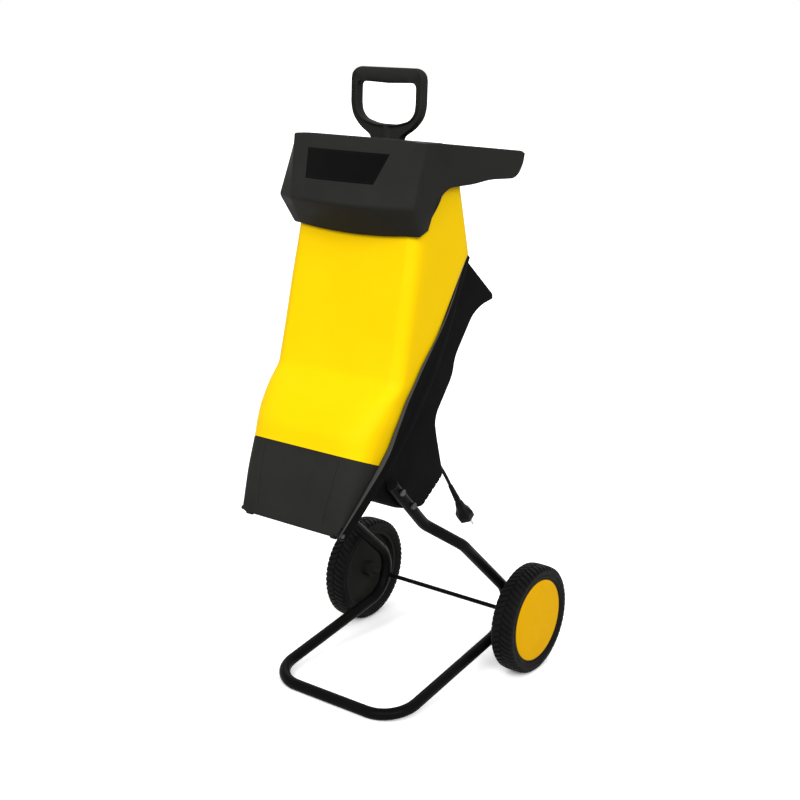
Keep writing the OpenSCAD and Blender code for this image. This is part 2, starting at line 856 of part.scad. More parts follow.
// The middle of the front panel as [y, z]
panel_mid = [-mix(front_split, front_foot, 0.6), mix(split_z, foot_z, 0.5)];
// Levels as [height, half width, front, squareness, rounding]
levels = [
    [collar_z, column_top_w / 2, -front_top, 16, column_round],
    [seam_top_z, column_w / 2, -mix(front_top, front_shoulder, mid_f), 16, column_round],
    [shoulder_z, shoulder_w / 2, -front_shoulder, 13, 4],
    [mix(shoulder_z, belly_z, 0.5), (shoulder_w + belly_w) / 4, -mix(front_shoulder, front_belly, 0.6), 9, 2],
    [belly_z, belly_w / 2, -front_belly, 8, 2],
    [mix(belly_z, split_z, 0.5), (belly_w + split_w) / 4, -mix(front_belly, front_split, 0.7), 6, 2],
    [split_z, split_w / 2, -front_split, 6, 2],
    [panel_mid[1], mix(split_w, foot_w, 0.45) / 2, panel_mid[0], 5, 2],
    [foot_z, foot_w / 2, -front_foot, 5, 2]];

module outer_skin() {
    loft([for (v = levels)
        skin_ring(v[0], v[1], v[0] > seam_top_z ? -column_back : seam_y(v[0]), v[2], v[3], v[4])]);
}

// The hollow, with a back wall of its own thickness or open through the seam
module inner_skin(back_wall) {
    slant = back_wall / cos(plane_lean);
    loft([for (i = [0 : len(levels) - 1]) let (
        v = levels[i],
        lift = i == 0 ? 1 : i == len(levels) - 1 ? housing_wall : 0,
        z = v[0] + lift,
        back = i == 0 ? -column_back - back_wall : seam_y(z) - slant)
        skin_ring(z, v[1] - housing_wall, back, v[2] + housing_wall, v[3], v[4] - 1)]);
}

split_tilt = 15;

module below_split() {
    translate([0, -front_split, split_z]) rotate([-split_tilt, 0, 0])
        translate([-400, -400, -800]) cube([800, 1200, 800]);
}

mouth_top_s = 104;
boss_d = 26;
boss_l = 15;
insert_d = 16;
insert_l = 12;

module front_housing() {
    color(c_yellow) difference() {
        union() {
            at_axle() difference() {
                outer_skin();
                inner_skin(housing_wall);
            }
            in_plane() translate([0, lock_s, 0.5]) cylinder(d = boss_d, h = boss_l);
        }
        at_axle() below_split();
        in_plane() translate([-mouth_x, -2 * seam_down, -5])
            cube([2 * mouth_x, 2 * seam_down + mouth_top_s, 5 + 2 * housing_wall]);
        in_plane() translate([0, lock_s, -1]) cylinder(d = insert_d, h = insert_l + 1);
        at_axle() hood_screw_bores();
    }
}

panel_field = [150, 66, 1.4];

module discharge_panel() {
    fall = atan((front_foot - front_split) / (split_z - foot_z));
    color(c_black) difference() {
        union() {
            at_axle() intersection() {
                difference() {
                    outer_skin();
                    inner_skin(-6);
                }
                below_split();
            }
            in_plane() both() hinge_place() {
                rod_x(2 * hinge_r, lug_x0 - run_gap - lug_in, lug_x0 - run_gap);
                translate([lug_x0 - run_gap - lug_in, 0, hinge_t]) cube([lug_in, hinge_r, 5]);
            }
        }
        in_plane() both() hinge_place() rod_x(hinge_d + 2 * fit_gap, 0, foot_w);
        in_plane() both() translate([lug_x0 - run_gap, -2 * seam_down, -20])
            cube([100, 2 * seam_down + hinge_s + hinge_r + 3, 60]);
        at_axle() translate([0, panel_mid[0], panel_mid[1]]) rotate([-fall, 0, 0])
            translate([-panel_field[0] / 2, -10, -panel_field[1] / 2])
            cube([panel_field[0], 10 + panel_field[2], panel_field[1]]);
    }
}

// The wall of the column goes on down to the disc and carries the fixed blade
deflector_t = 3;
deflector_w = 200;
counter_t = [1, 6];
counter_s = [16, 40];
wall_slope = (front_shoulder - front_top) / (collar_z - shoulder_z);
function wall_y(z) = housing_wall + seat_gap - front_shoulder - (shoulder_z - z) * wall_slope;
deflector_top = shoulder_z + 30;
deflector_foot = off_seam(counter_s[1] - 3, -counter_t[1] - deflector_t);

module feed_deflector() {
    color(c_steel) {
        at_axle() across(deflector_w) polygon([
            [wall_y(deflector_top), deflector_top], [wall_y(deflector_top) + deflector_t, deflector_top],
            deflector_foot + [deflector_t, 0], deflector_foot]);
        in_plane() difference() {
            translate([-deflector_w / 2, counter_s[0] - 2, counter_t[1]])
                cube([deflector_w, counter_s[1] - counter_s[0] + 2, deflector_t]);
            counter_screw_places() translate([0, 0, -20]) cylinder(d = counter_screw_d, h = 60);
        }
    }
}

counter_w = 130;
counter_screw_d = 5;

module counter_screw_places() {
    for (x = [-counter_w / 3, 0, counter_w / 3]) {
        translate([x, mix(counter_s[0], counter_s[1], 0.45), 0]) children();
    }
}

module counter_blade() {
    color(c_plate) in_plane() difference() {
        translate([-counter_w / 2, counter_s[0], counter_t[0]])
            cube([counter_w, counter_s[1] - counter_s[0], counter_t[1] - counter_t[0]]);
        counter_screw_places() translate([0, 0, -20]) cylinder(d = counter_screw_d, h = 60);
    }
}

module counter_screws() {
    color(c_steel) in_plane() counter_screw_places() {
        translate([0, 0, counter_t[0] + 0.5])
            cylinder(d = counter_screw_d, h = counter_t[1] - counter_t[0] + deflector_t - 0.5);
        translate([0, 0, counter_t[1] + deflector_t]) cylinder(d = 9, h = 3);
    }
}

module lock_insert() {
    color(c_brass) in_plane() translate([0, lock_s, run_gap]) difference() {
        cylinder(d = insert_d, h = insert_l - run_gap);
        translate([0, 0, -1]) cylinder(d = lock_d + 1, h = insert_l + 2);
    }
}

// Hood

hood_wall = 3.5;
deck_z = hood_top_z - 23;
deck_t = 4;
under_z = collar_z - 14;
arm_x = mix(column_top_w, column_w, (collar_z - under_z) / (collar_z - seam_top_z)) / 2 + 1.2;
deck_x = arm_x + arm_t;
hood_back = 0.6 - mix(column_back, -seam_y(seam_top_z), (collar_z - under_z) / (collar_z - seam_top_z));
top_slope = 5.4;
hood_rear = -205;
// Setback of the hood's upper edge behind its forward edge
hood_set = 51;
// Levels as [height, front, face half width, corner, side half width]
hood_levels = [
    [hood_top_z, hood_set - hood_reach, hood_w / 2 - 13, 73 - hood_reach, deck_x - 2],
    [hood_mid_z, -hood_reach, hood_w / 2 - 43.5, 31 - hood_reach, hood_w / 2],
    [hood_foot_z, 50 - hood_reach, hood_w / 2 - 25.5, 66 - hood_reach, hood_w / 2 - 7]];
function hood_level(z) = z > hood_mid_z
    ? mix(hood_levels[1], hood_levels[0], (z - hood_mid_z) / (hood_top_z - hood_mid_z))
    : mix(hood_levels[2], hood_levels[1], (z - hood_foot_z) / (hood_mid_z - hood_foot_z));
function hood_ring(z, w, rear) = let (v = hood_level(z)) [
    [v[4] - w, rear, z], [v[4] - w, v[3] + w, z], [v[2] - w / 2, v[1] + w, z],
    [w / 2 - v[2], v[1] + w, z], [w - v[4], v[3] + w, z], [w - v[4], rear, z]];

module box_between(x, y0, y1, z0, z1) {
    translate([-x, y0, z0]) cube([2 * x, y1 - y0, z1 - z0]);
}

handle_y = -20;
handle_z = hood_top_z - 53;
bar_d = grip_d - 10;
pusher_y = -213;
throat_wall = 2.5;

module arm_outline() {
    polygon([
        [hood_rear - 12, under_z], [-160, under_z + 1], [-100, under_z + 5], [-36, under_z + 2],
        [-22, under_z + 8], [-6, under_z + 28], [-3, under_z + 42], [-8, under_z + 51], [-14, hood_top_z],
        [hood_rear - 12, hood_top_z]]);
}

// What is cut away behind the side skirts
module skirt_cut() {
    across(400) polygon([
        [-276, hood_foot_z - 10], [-264, hood_foot_z + 11], [-252, hood_foot_z + 41], [-238, under_z - 10],
        [-214, under_z], [-100, under_z], [-100, hood_foot_z - 10]]);
}

module throat_hole(extra) {
    translate([0, pusher_y, 0]) box_between(throat_w / 2 + extra, -throat_d / 2 - extra, throat_d / 2 + extra,
        collar_z - 200, hood_top_z + 50);
}

hood_screw_d = 4;

module hood_screw_places() {
    both() translate([74, hood_back + hood_wall, collar_z - 6]) children();
}

module hood_screw_bores() {
    hood_screw_places() rotate([90, 0, 0]) translate([0, 0, -30]) cylinder(d = hood_screw_d, h = 60);
}

module top_hood() {
    color(c_black) at_axle() difference() {
        union() {
            loft([for (z = [hood_top_z, hood_mid_z, hood_foot_z]) hood_ring(z, 0, hood_rear)]);
            box_between(deck_x, hood_rear - 30, hood_back + hood_wall, under_z, hood_top_z);
            both() translate([arm_x + arm_t / 2, 0, 0]) across(arm_t) arm_outline();
            translate([0, handle_y, handle_z]) rod_x(bar_d, -arm_x - 2, arm_x + 2);
        }
        loft([for (z = [deck_z, hood_mid_z, hood_foot_z]) hood_ring(z, hood_wall, hood_rear + 1)]);
        loft([for (rise = [0, -20])
            [for (p = hood_ring(hood_foot_z, hood_wall, hood_rear)) p + [0, 0, rise]]]);
        box_between(arm_x - 0.6, hood_rear - 60, hood_back, under_z - 1, deck_z);
        loft([for (z = [hood_top_z, deck_z + deck_t]) hood_ring(z, hood_wall, hood_back)]);
        translate([0, hood_set - hood_reach, hood_top_z]) rotate([-top_slope, 0, 0])
            box_between(300, -100, 600, 0, 100);
        skirt_cut();
        throat_hole(throat_wall);
        hood_screw_bores();
    }
}

module handle_grip() {
    color(c_dark) at_axle() translate([0, handle_y, handle_z]) difference() {
        rod_x(grip_d, 2 - arm_x, arm_x - 2);
        rod_x(bar_d, -arm_x, arm_x);
    }
}

module hood_screws() {
    color(c_steel) at_axle() hood_screw_places() rotate([90, 0, 0]) {
        cylinder(d = hood_screw_d, h = 14);
        translate([0, 0, -3]) cylinder(d = 9, h = 3);
    }
}

plate_size = [164, 136, 52];
plate_h = 1.2;

module rating_plate() {
    tilt = atan((hood_top_z - hood_mid_z) / hood_set);
    color(c_carbon) at_axle() translate([0, hood_set / 2 - hood_reach, (hood_top_z + hood_mid_z) / 2])
        rotate([tilt, 0, 0]) translate([0, 6, 0]) linear_extrude(plate_h) polygon([
            [-plate_size[1] / 2, -plate_size[2] / 2], [plate_size[1] / 2, -plate_size[2] / 2],
            [plate_size[0] / 2, plate_size[2] / 2], [-plate_size[0] / 2, plate_size[2] / 2]]);
}

throat_l = 140;
throat_lip = 2;
lip_w = 5;

module feed_throat() {
    top = deck_z + deck_t + throat_lip;
    color(c_dark) at_axle() difference() {
        translate([0, pusher_y, 0]) {
            box_between(throat_w / 2 + throat_wall, -throat_d / 2 - throat_wall,
                throat_d / 2 + throat_wall, top - throat_l, top);
            box_between(throat_w / 2 + throat_wall + lip_w, -throat_d / 2 - throat_wall - lip_w,
                throat_d / 2 + throat_wall + lip_w, top - throat_lip, top);
        }
        throat_hole(0);
    }
}

// Pusher

pusher_wall = 3;
collar_t = 5;
collar_lip = 7;
pusher_top = deck_z + deck_t + throat_lip + run_gap;

module pusher_body() {
    w = throat_w / 2 - pusher_play;
    d = throat_d / 2 - pusher_play;
    color(c_dark) at_axle() translate([0, pusher_y, 0]) difference() {
        union() {
            box_between(w, -d, d, pusher_top - pusher_l, pusher_top);
            box_between(throat_w / 2 + collar_lip, -throat_d / 2 - collar_lip, throat_d / 2 + collar_lip,
                pusher_top, pusher_top + collar_t);
        }
        box_between(w - pusher_wall, pusher_wall - d, d - pusher_wall,
            pusher_top - pusher_l - 1, pusher_top - 1);
    }
}

dee_side = 12;
dee_bar = 23;

module pusher_handle() {
    low = pusher_top + collar_t;
    top = low + dee_h;
    half = dee_w / 2;
    bore = half - dee_side;
    color(c_black) at_axle() translate([0, pusher_y + dee_t / 2, 0])
        rotate([90, 0, 0]) linear_extrude(dee_t) difference() {
        polygon(mirrored([
            [28, low], [30, low + 8], [half - 19, low + 22], [half - 5, low + 38], [half, low + 56],
            [half, top - 16], [half - 4, top - 5], [half - 12, top]]));
        polygon(mirrored([
            [20, low + 27], [bore - 12, low + 34], [bore - 2, low + 46], [bore, low + 58],
            [bore, top - dee_bar - 4], [bore - 4, top - dee_bar]]));
    }
}

// Locking knob

washer_d = 24;
washer_t = 2;
knob_t0 = knob_wall_t + run_gap + washer_t + run_gap;
knob_l = 28;
lobes = 6;

module lock_washer() {
    color(c_steel) in_plane() translate([0, lock_s, 0])
        ring_t(washer_d, lock_d + 2 * fit_gap, knob_wall_t + run_gap, knob_wall_t + run_gap + washer_t);
}

module lock_knob() {
    color(c_black) in_plane() translate([0, lock_s, 0]) difference() {
        rod_t(knob_d, knob_t0, knob_t0 + knob_l);
        rod_t(lock_d, knob_t0 - 1, knob_t0 + knob_l - 8);
        for (k = [0 : lobes - 1]) {
            rotate([0, 0, 360 / lobes * k]) translate([knob_d / 2 + 4, 0, 0])
                rod_t(18, knob_t0 + 6, knob_t0 + knob_l + 1);
        }
    }
}

module lock_screw() {
    color(c_steel) in_plane() translate([0, lock_s, 0]) rod_t(lock_d, -9, knob_t0 + knob_l - 8);
}

// Switch, buttons and gland

bezel = [70, 66, 3.5];
button_t0 = switch_wall_t - 8;
button_out = 4.5;
start_at = [0, switch_s + 14];
stop_at = [0, switch_s - 13];
reset_at = [21, switch_s - 13];
pocket_l = 14;

module button_bores(gap, t0, t1) {
    translate([start_at[0], start_at[1], 0]) rod_t(start_d + 2 * gap, t0, t1);
    translate([stop_at[0], stop_at[1], 0]) rod_t(stop_d + 2 * gap, t0, t1);
    translate([reset_at[0], reset_at[1], 0]) rod_t(reset_d + 2 * gap, t0, t1);
}

module switch_bezel() {
    color(c_dark) in_plane() difference() {
        translate([-bezel[0] / 2, switch_s - bezel[1] / 2, -switch_wall_t - bezel[2]]) cube(bezel);
        button_bores(button_gap, switch_wall_t - 1, switch_wall_t + bezel[2] + 1);
    }
}

module switch_case() {
    color(c_black) in_plane() difference() {
        translate([-switch_box[0] / 2, switch_s - switch_box[1] / 2, -switch_wall_t]) cube(switch_box);
        button_bores(button_gap, switch_wall_t - pocket_l, switch_wall_t + 1);
    }
}

module button(at, d) {
    in_plane() translate([at[0], at[1], 0]) rod_t(d, button_t0, switch_wall_t + bezel[2] + button_out);
}

module start_button() {
    color(c_green) button(start_at, start_d);
}

module stop_button() {
    color(c_red) button(stop_at, stop_d);
}

module reset_button() {
    color(c_black) button(reset_at, reset_d);
}

gland_l = 34;
gland_tip_d = cord_d + 3;

module cable_gland() {
    color(c_rubber) in_plane() translate([0, gland_s, -switch_wall_t])
        rotate([180, 0, 0]) rotate_extrude() polygon([
        [0, -10], [gland_hole_d / 2 - seat_gap, -10], [gland_hole_d / 2 - seat_gap, 0], [8, 0], [8, 6],
        [7, 8], [gland_tip_d / 2, gland_l], [0, gland_l]]);
}

// Cord, drawn along points chosen by hand as [y, z] from the axle
cord_start = off_seam(gland_s, switch_wall_t + gland_l);
cord_next = off_seam(gland_s, switch_wall_t + gland_l + 20);
cord_points = concat(
    [cord_start, cord_next],
    [[-127, 456], [-97, 428], [-67, 399], [-39, 369], [-12, 338], [9, 310]]);
cord_sides = 10;
cord_steps = 4;
cord_last = len(cord_points) - 1;
plug_run = cord_points[cord_last] - cord_points[cord_last - 1];
plug_way = plug_run / norm(plug_run);
function cord_knot(i) = i < 0 ? 2 * cord_points[0] - cord_points[1]
    : i > cord_last ? 2 * cord_points[cord_last] - cord_points[cord_last - 1] : cord_points[i];
function glide(a, b, c, d, f) = b + f * (c - a) / 2 + f * f * (a - 2.5 * b + 2 * c - d / 2)
    + f * f * f * (-a + 3 * b - 3 * c + d) / 2;
function cord_at(k) = let (i = min(floor(k / cord_steps), cord_last - 1), f = k / cord_steps - i)
    glide(cord_knot(i - 1), cord_knot(i), cord_knot(i + 1), cord_knot(i + 2), f);
cord_rings = cord_steps * cord_last;
function cord_way(k) = let (
    a = cord_at(max(k - 0.1, 0)),
    b = cord_at(min(k + 0.1, cord_rings)))
    (b - a) / norm(b - a);

module power_cord() {
    color(c_rubber) at_axle() loft([for (k = [cord_rings : -1 : 0]) let (c = cord_at(k), v = cord_way(k))
        [for (i = [0 : cord_sides - 1]) let (a = 360 / cord_sides * i)
            [cord_d / 2 * cos(a), c[0] - v[1] * cord_d / 2 * sin(a), c[1] + v[0] * cord_d / 2 * sin(a)]]]);
}

module at_plug() {
    at_axle() translate([0, cord_points[cord_last][0], cord_points[cord_last][1]])
        rotate([-90 - atan2(-plug_way[1], plug_way[0]), 0, 0]) children();
}

pin_d = 4.8;
pin_l = 19;
pin_gap = 19;

module plug_body() {
    sleeve = 0.5 * plug_l;
    r = plug_d / 2;
    color(c_rubber) at_plug() rotate_extrude() polygon([
        [0, 0], [cord_d / 2 + 0.8, 0], [cord_d / 2 + 3, sleeve], [r - 9, sleeve + 8], [r - 6, plug_l - 27],
        [r, plug_l - 14], [r, plug_l - 1], [r - 1, plug_l], [0, plug_l]]);
}

module plug_pins() {
    color(c_steel) at_plug() for (x = [-pin_gap / 2, pin_gap / 2]) {
        translate([x, 0, plug_l]) cylinder(d = pin_d, h = pin_l);
    }
}

frame_tube();
tube_caps();
leg_bolts();
axle_rod();
axle_spacers();
axle_nuts();
tyre_right();
tyre_left();
hub_right();
hub_left();
cap_right();
cap_left();
rear_shell();
hinge_pins();
chamber_plate();
plate_screws();
front_bearing();
rear_bearing();
motor_can();
motor_bracket();
stator_core();
field_coils();
brush_holders();
carbon_brushes();
suppressor();
motor_shaft();
armature();
armature_windings();
commutator();
cooling_fan();
cutter_disc();
cutter_blades();
blade_screws();
disc_clamp();
disc_bolt();
front_housing();
discharge_panel();
feed_deflector();
counter_blade();
counter_screws();
lock_insert();
top_hood();
handle_grip();
hood_screws();
rating_plate();
feed_throat();
pusher_body();
pusher_handle();
lock_washer();
lock_knob();
lock_screw();
switch_bezel();
switch_case();
start_button();
stop_button();
reset_button();
cable_gland();
power_cord();
plug_body();
plug_pins();
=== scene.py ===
"""Garden shredder: skins, tread, cord, materials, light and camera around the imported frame."""

from math import atan2, cos, degrees, exp, pi, radians, sin, sqrt, tan

import bmesh
import bpy
from mathutils import Matrix, Vector


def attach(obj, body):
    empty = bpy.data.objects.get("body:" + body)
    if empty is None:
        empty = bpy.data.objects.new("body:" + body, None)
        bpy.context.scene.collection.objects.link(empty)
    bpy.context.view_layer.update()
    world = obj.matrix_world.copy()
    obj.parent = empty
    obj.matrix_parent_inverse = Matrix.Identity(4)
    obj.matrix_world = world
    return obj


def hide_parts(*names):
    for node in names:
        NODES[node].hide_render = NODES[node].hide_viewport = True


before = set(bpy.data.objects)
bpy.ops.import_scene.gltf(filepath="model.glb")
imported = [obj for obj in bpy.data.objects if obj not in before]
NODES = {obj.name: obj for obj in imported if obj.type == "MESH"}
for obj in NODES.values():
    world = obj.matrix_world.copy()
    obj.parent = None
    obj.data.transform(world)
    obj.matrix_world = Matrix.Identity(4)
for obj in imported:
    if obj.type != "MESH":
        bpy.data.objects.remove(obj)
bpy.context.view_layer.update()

# Lengths below are in millimetres, with y counted from the axle, as in the part's source
MM = 0.001
AXLE_Y = 178
LEAN = radians(37)
CUT_Z = 501
CUT_Y = -345


def at(x, y, z):
    return Vector((x * MM, (y + AXLE_Y) * MM, z * MM))


def seam_y(z):
    return (z - CUT_Z) * tan(LEAN) + CUT_Y


def off_seam(x, s, t):
    """A point x across, s up the seam and t behind it."""
    return at(
        x,
        s * sin(LEAN) + t * cos(LEAN) + CUT_Y,
        CUT_Z + s * cos(LEAN) - t * sin(LEAN))


def mix(a, b, f):
    return a + (b - a) * f


def smoothstep(a, b, v):
    f = min(max((v - a) / (b - a), 0), 1)
    return f * f * (3 - 2 * f)


def spread(a, b, n):
    """n steps from a up to, but not including, b."""
    return [a + (b - a) * i / n for i in range(n)]


def smooth_line(xs, ys):
    """A monotone cubic through the points, xs rising."""
    n = len(xs)
    d = [(ys[i + 1] - ys[i]) / (xs[i + 1] - xs[i]) for i in range(n - 1)]
    m = [d[0]] + [0] * (n - 2) + [d[-1]]
    for i in range(1, n - 1):
        if d[i - 1] * d[i] > 0:
            m[i] = 2 * d[i - 1] * d[i] / (d[i - 1] + d[i])

    def value(x):
        x = min(max(x, xs[0]), xs[-1])
        i = 0
        while i < n - 2 and x > xs[i + 1]:
            i += 1
        h = xs[i + 1] - xs[i]
        f = (x - xs[i]) / h
        return (
            ys[i] * (1 + 2 * f) * (1 - f) ** 2 + m[i] * h * f * (1 - f) ** 2
            + ys[i + 1] * f * f * (3 - 2 * f) + m[i + 1] * h * f * f * (f - 1))
    return value


def new_object(name, data):
    obj = bpy.data.objects.new(name, data)
    bpy.context.scene.collection.objects.link(obj)
    return obj


# Camera, fitted to the photo: turn, tilt and roll in radians, place in metres

CAMERA_TURN = (0.62858883, 0.25772047, 0.02826801)
CAMERA_PLACE = (1.35895, -1.85223, 1.12244)
SENSOR_W = 36
LENS = 61.881
LENS_SHIFT = (0.000875, -0.003075)
FAR_CLIP = 100


def make_camera():
    yaw, pitch, roll = CAMERA_TURN
    fwd = Vector((-sin(yaw) * cos(pitch), cos(yaw) * cos(pitch), -sin(pitch)))
    right = Vector((cos(yaw), sin(yaw), 0))
    up = right.cross(fwd)
    x = right * cos(roll) + up * sin(roll)
    y = up * cos(roll) - right * sin(roll)
    data = bpy.data.cameras.new("camera")
    data.sensor_width = SENSOR_W
    data.lens = LENS
    data.shift_x, data.shift_y = LENS_SHIFT
    data.clip_end = FAR_CLIP
    cam = new_object("camera", data)
    place = Matrix((x, y, -fwd)).transposed().to_4x4()
    place.translation = CAMERA_PLACE
    cam.matrix_world = place
    bpy.context.scene.camera = cam


make_camera()


# Materials

class Nodes:
    """A material's node tree with short calls."""

    def __init__(self, name):
        self.mat = bpy.data.materials.new(name)
        self.mat.use_nodes = True
        self.tree = self.mat.node_tree
        self.shader = self.tree.nodes["Principled BSDF"]
        self.place = self.add("ShaderNodeTexCoord").outputs["Object"]

    def add(self, kind, **inputs):
        node = self.tree.nodes.new(kind)
        for key, value in inputs.items():
            node.inputs[key.replace("_", " ")].default_value = value
        return node

    def link(self, a, b):
        self.tree.links.new(a, b)

    def set(self, **values):
        for key, value in values.items():
            self.shader.inputs[key.replace("_", " ")].default_value = value

    def noise(self, scale, detail=4, rough=0.5, place=None):
        node = self.add("ShaderNodeTexNoise", Scale=scale, Detail=detail, Roughness=rough)
        self.link(place or self.place, node.inputs["Vector"])
        return node.outputs["Fac"]

    def mapped(self, **inputs):
        node = self.add("ShaderNodeMapping", **inputs)
        self.link(self.place, node.inputs["Vector"])
        return node.outputs["Vector"]

    def ramp(self, fac, stops):
        node = self.add("ShaderNodeValToRGB")
        marks = node.color_ramp.elements
        for i, (pos, colour) in enumerate(stops):
            mark = marks[i] if i < 2 else marks.new(pos)
            mark.position = pos
            mark.color = (*colour, 1)
        self.link(fac, node.inputs["Fac"])
        return node.outputs["Color"]

    def level(self, fac, low, high):
        node = self.add("ShaderNodeMapRange", From_Min=0.3, From_Max=0.7, To_Min=low, To_Max=high)
        self.link(fac, node.inputs["Value"])
        return node.outputs["Result"]

    def bump(self, height, strength, depth, under=None):
        node = self.add("ShaderNodeBump", Strength=strength, Distance=depth)
        self.link(height, node.inputs["Height"])
        if under is not None:
            self.link(under, node.inputs["Normal"])
        return node.outputs["Normal"]

    def finish(self, colour, rough, normal):
        for source, key in ((colour, "Base Color"), (rough, "Roughness"), (normal, "Normal")):
            self.link(source, self.shader.inputs[key])
        return self.mat


def moulded(name, low, high, rough, grain, depth, specular, cloud=9):
    """Moulded plastic: cloudy colour, spark-eroded grain and slight unevenness of gloss."""
    n = Nodes(name)
    n.set(Specular_IOR_Level=specular)
    colour = n.ramp(n.noise(cloud, 5, 0.6), ((0.3, low), (0.7, high)))
    gloss = n.level(n.noise(cloud * 4, 6), rough - 0.05, rough + 0.07)
    waves = n.bump(n.noise(22, 2), 0.10, 0.002)
    return n.finish(colour, gloss, n.bump(n.noise(grain, 2), 0.5, depth, waves))


def rubber(name, low, high, rough, dust):
    """Rubber with a fine grain and a little pale dust."""
    n = Nodes(name)
    n.set(Specular_IOR_Level=0.07)
    colour = n.ramp(n.noise(60, 8, 0.7), ((0.35, low), (0.62, high), (0.82, dust)))
    gloss = n.level(n.noise(140, 4), rough - 0.08, rough + 0.1)
    return n.finish(colour, gloss, n.bump(n.noise(1800, 3), 0.55, 0.0002))


def painted(name, low, high, rough):
    """Baked enamel on tube, with orange peel under a clear gloss."""
    n = Nodes(name)
    n.set(Specular_IOR_Level=0.02, Coat_Weight=0.012, Coat_Roughness=0.12)
    colour = n.ramp(n.noise(30, 6, 0.65), ((0.3, low), (0.75, high)))
    gloss = n.level(n.noise(90, 5), rough - 0.06, rough + 0.12)
    return n.finish(colour, gloss, n.bump(n.noise(420, 2), 0.16, 0.0004))


def metal(name, low, high, rough, lines=(1, 1, 1), scale=900, scratch=0.25):
    """Worked metal: a grain drawn out along one way, stains and scratches."""
    n = Nodes(name)
    n.set(Metallic=1)
    colour = n.ramp(n.noise(45, 8, 0.7), ((0.3, low), (0.7, high)))
    grain = n.noise(scale, 4, 0.6, n.mapped(Scale=lines))
    gloss = n.level(grain, rough - 0.09, rough + 0.12)
    return n.finish(colour, gloss, n.bump(grain, scratch, 0.0003))


def laminated(name, low, high, rough, turns):
    """Stacked sheets or wound wire, as fine parallel ribs along the seam's normal."""
    n = Nodes(name)
    n.set(Metallic=1)
    wave = n.add("ShaderNodeTexWave", Scale=turns, Distortion=0.6, Detail=2)
    wave.bands_direction = "Y"
    n.link(n.mapped(Rotation=(-LEAN, 0, 0)), wave.inputs["Vector"])
    colour = n.ramp(wave.outputs["Fac"], ((0.15, low), (0.6, high)))
    gloss = n.level(n.noise(300, 4), rough - 0.06, rough + 0.1)
    return n.finish(colour, gloss, n.bump(wave.outputs["Fac"], 0.7, 0.0006))


def grey(v):
    return (v, v, v)


# Two linear colours each; grain and cloud are noise scales, depth is in metres
YELLOW = moulded(
    "yellow_abs", (0.98, 0.625, 0.001), (1, 0.655, 0.002),
    rough=0.42, grain=1500, depth=0.00006, specular=0.025)
CAP_YELLOW = moulded(
    "yellow_cap", (0.82, 0.43, 0.002), (0.87, 0.465, 0.003),
    rough=0.45, grain=1400, depth=0.00009, specular=0.015, cloud=30)
BLACK = moulded(
    "black_moulding", (0.0205, 0.0206, 0.0188), (0.0255, 0.0255, 0.0232),
    rough=0.45, grain=1100, depth=0.00022, specular=0.008)
SHELL = moulded(
    "black_shell", (0.0048, 0.0050, 0.0050), (0.0070, 0.0072, 0.0072),
    rough=0.55, grain=1100, depth=0.00025, specular=0.006)
# The rim lip's face: the shell's black plastic painted paler, a painted highlight for the light its front
# face catches
RIM_PAINTED_HIGHLIGHT = moulded(
    "rim_painted_highlight", (0.046, 0.046, 0.043), (0.056, 0.056, 0.052),
    rough=0.46, grain=1300, depth=0.0002, specular=0.04)
DARK = moulded(
    "dark_moulding", (0.0085, 0.0085, 0.0090), (0.0120, 0.0120, 0.0125),
    rough=0.48, grain=1300, depth=0.0002, specular=0.03)
PLATE_BLACK = moulded(
    "plate_black", grey(0.0016), grey(0.0026),
    rough=0.30, grain=2400, depth=0.00004, specular=0.04)
GREEN = moulded(
    "green_button", (0.010, 0.20, 0.045), (0.016, 0.26, 0.06),
    rough=0.33, grain=1600, depth=0.00006, specular=0.5, cloud=60)
RED = moulded(
    "red_button", (0.52, 0.012, 0.010), (0.62, 0.020, 0.014),
    rough=0.33, grain=1600, depth=0.00006, specular=0.5, cloud=60)
GRIP = rubber("soft_grip", grey(0.012), grey(0.018), 0.72, (0.026, 0.026, 0.025))
TYRE = rubber("tyre_rubber", grey(0.0036), (0.0058, 0.0058, 0.0057), 0.66, (0.012, 0.0118, 0.011))
CORD_SKIN = rubber("cord_rubber", grey(0.003), grey(0.005), 0.5, grey(0.010))
TUBE = painted("tube_enamel", (0.0028, 0.0028, 0.0030), (0.0050, 0.0050, 0.0052), 0.34)
STEEL = metal("zinc_steel", (0.50, 0.51, 0.53), (0.62, 0.63, 0.65), 0.34)
BLADE = metal(
    "ground_blade", (0.60, 0.61, 0.62), (0.72, 0.73, 0.74), 0.22,
    lines=(1, 8, 1), scale=500, scratch=0.4)
ALLOY = metal("cast_alloy", (0.48, 0.48, 0.47), (0.60, 0.60, 0.59), 0.46, scale=350, scratch=0.6)
CAN = metal("motor_sheet", (0.34, 0.35, 0.37), (0.46, 0.47, 0.49), 0.38)
BRASS = metal("turned_brass", (0.62, 0.44, 0.16), (0.74, 0.55, 0.24), 0.27)
STACK = laminated("core_stack", (0.16, 0.16, 0.17), (0.36, 0.36, 0.37), 0.45, 260)
COPPER = laminated("wound_copper", (0.40, 0.17, 0.07), (0.72, 0.36, 0.17), 0.32, 180)
OXIDE = metal("black_oxide", (0.030, 0.030, 0.032), (0.055, 0.055, 0.058), 0.42)
CARBON = moulded(
    "carbon", (0.010, 0.010, 0.011), (0.022, 0.022, 0.024),
    rough=0.6, grain=2600, depth=0.0002, specular=0.4, cloud=200)


# Mesh helpers

# Points closer than this, in metres, become one; edges turning more than this, in degrees, stay sharp
WELD_GAP = 0.00001
SHARP = 34
# Points round a turned form
ROUND_STEPS = 40


